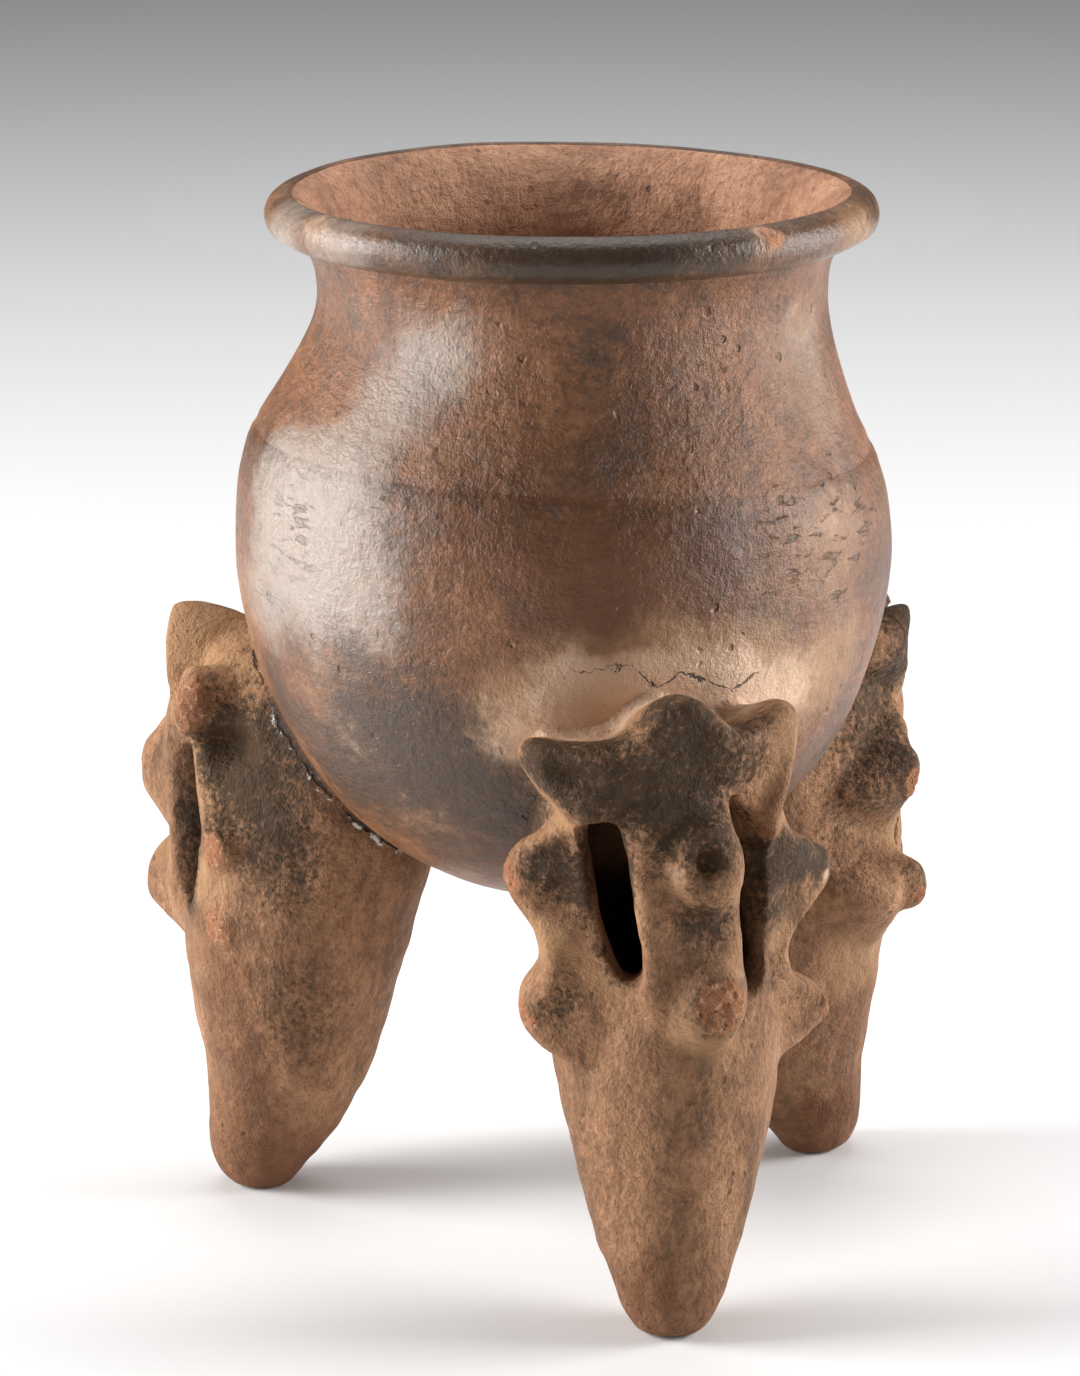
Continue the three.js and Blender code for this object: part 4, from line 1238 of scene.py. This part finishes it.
# Crack colour, also the colour of the painted shade inside the rattle chamber
CRACK_AND_SHADE = (0.018, 0.010, 0.006)
PLASTER = (0.75, 0.71, 0.64)
BOWL_TONES = ((0.29, 0.126, 0.052), (0.165, 0.064, 0.023), (0.072, 0.030, 0.013))
WALL_TONES = ((0.31, 0.132, 0.054), (0.182, 0.071, 0.027), (0.082, 0.034, 0.014))
RIM_TONES = ((0.26, 0.130, 0.070), (0.13, 0.060, 0.029), (0.050, 0.024, 0.013))
LEG_TONES = ((0.45, 0.245, 0.130), (0.30, 0.150, 0.076), (0.145, 0.074, 0.039))
INSIDE_TONES = ((0.62, 0.33, 0.195), (0.46, 0.225, 0.125), (0.25, 0.115, 0.06))
PELLET_TONES = ((0.45, 0.27, 0.17), (0.34, 0.19, 0.11), (0.2, 0.11, 0.06))

groups = {
    "mottling": clay_mottling(),
    "stain": clay_stain(),
    "grain": surface_grain(),
    "crack": fine_crack(),
}

# Each clay: the pot's and the leg's tones, roughness, shine, surface grain, pits and bump
clays = {
    "bowl": clay("bowl_clay", BOWL_TONES, None, 0.39, 0.44, 0.50, 1.0, 0.8),
    "wall": clay("wall_clay", WALL_TONES, None, 0.40, 0.44, 0.60, 0.9, 0.85),
    "rim": clay("rim_clay", RIM_TONES, None, 0.33, 0.40, 0.40, 0.5, 0.7),
    "leg": clay("leg_clay", BOWL_TONES, LEG_TONES, 0.60, 0.18, 1.0, 0.8, 1.0),
}


def pellet_clay():
    """Rough unslipped clay for the rattle's pellets."""
    material, shader, vector = new_material("pellet_clay")
    surface = placed("grain", vector, "Height", {"Roughness": 1.2, "Pits": 1.0, "Scar": 0.2})
    colour = mottled(vector, PELLET_TONES, 180.0)
    # Painted shade in the pellets' pits
    feed(shader["Base Color"], blend(surface.also("Pit mask") * 0.6, colour, DIRT_AND_SHADE))
    feed(shader["Roughness"], 0.88)
    feed(shader["Normal"], bumped(surface, 0.9))
    return material


def make_pellets():
    """The loose pellets, rolled between the palms, each on its own body."""
    material = pellet_clay()
    for pellet in (f"{name}_pellet_{side}" for name in LEGS for side in ("left", "right")):
        low, high = (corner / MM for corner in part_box(pellet))
        middle, radius = (low + high) / 2, (high.x - low.x) / 2
        bm = bmesh.new()
        bmesh.ops.create_icosphere(
            bm, subdivisions=4, radius=radius, matrix=Matrix.Translation(middle))
        for vert in bm.verts:
            out = (vert.co - middle) / radius
            press = 0.18 + 0.18 * noise.noise(vert.co / 3.4) + 0.08 * noise.noise(vert.co / 1.2)
            vert.co -= out * max(press, 0.0)
        piece = mesh_object(bm, f"{pellet}_clay")
        finished(piece, material, "pellet_clay", pellet, body=pellet)


def make_floor():
    """A plain pale floor."""
    bm = bmesh.new()
    bmesh.ops.create_grid(bm, x_segments=1, y_segments=1, size=8.0)
    floor = mesh_object(bm, "floor")
    material = bpy.data.materials.new("pale_floor")
    material.use_nodes = True
    shader = material.node_tree.nodes["Principled BSDF"].inputs
    feed(shader["Base Color"], (0.86, 0.86, 0.86))
    feed(shader["Roughness"], 0.55)
    floor.data.materials.append(material)


def aimed(data, name, location, target):
    """A camera or light in the scene, turned to a target."""
    made = bpy.data.objects.new(name, data)
    bpy.context.scene.collection.objects.link(made)
    made.location = location
    made.rotation_euler = (Vector(target) - made.location).to_track_quat("-Z", "Y").to_euler()
    return made


def make_camera():
    """The photograph's view: a little above, and to the left of the front leg."""
    data = bpy.data.cameras.new("camera")
    data.sensor_fit = "VERTICAL"
    data.sensor_height = 36.0
    data.lens = 140.97
    bpy.context.scene.camera = aimed(
        data, "camera", (-0.2888, -0.9205, 0.3701), (-0.0088, 0.0127, 0.1048))


def soft_light(name, bearing, distance, height, width, tall, watts):
    """A soft box that faces the pot."""
    data = bpy.data.lights.new(name, "AREA")
    data.shape = "RECTANGLE"
    data.size, data.size_y = width, tall
    data.energy = watts
    turn = radians(bearing)
    aimed(data, name, (distance * sin(turn), -distance * cos(turn), height), (0, 0, 0.11))


def make_light():
    """Soft light from both sides and from above, weaker from in front."""
    soft_light("left_box", -104, 1.1, 0.36, 0.6, 0.9, 28.0)
    soft_light("right_box", 78, 1.1, 0.38, 0.6, 0.9, 21.5)
    soft_light("top_box", 165, 0.5, 1.25, 1.0, 1.0, 9.0)
    world = bpy.data.worlds.new("studio")
    bpy.context.scene.world = world
    world.use_nodes = True
    background = world.node_tree.nodes["Background"].inputs
    feed(background["Color"], (0.9, 0.9, 0.9))
    feed(background["Strength"], 0.14)


make_camera()
make_light()
make_floor()
make_pot()
for leg_name in LEGS:
    leg_skin(leg_name)
make_pellets()

bpy.context.scene.view_settings.view_transform = "Standard"
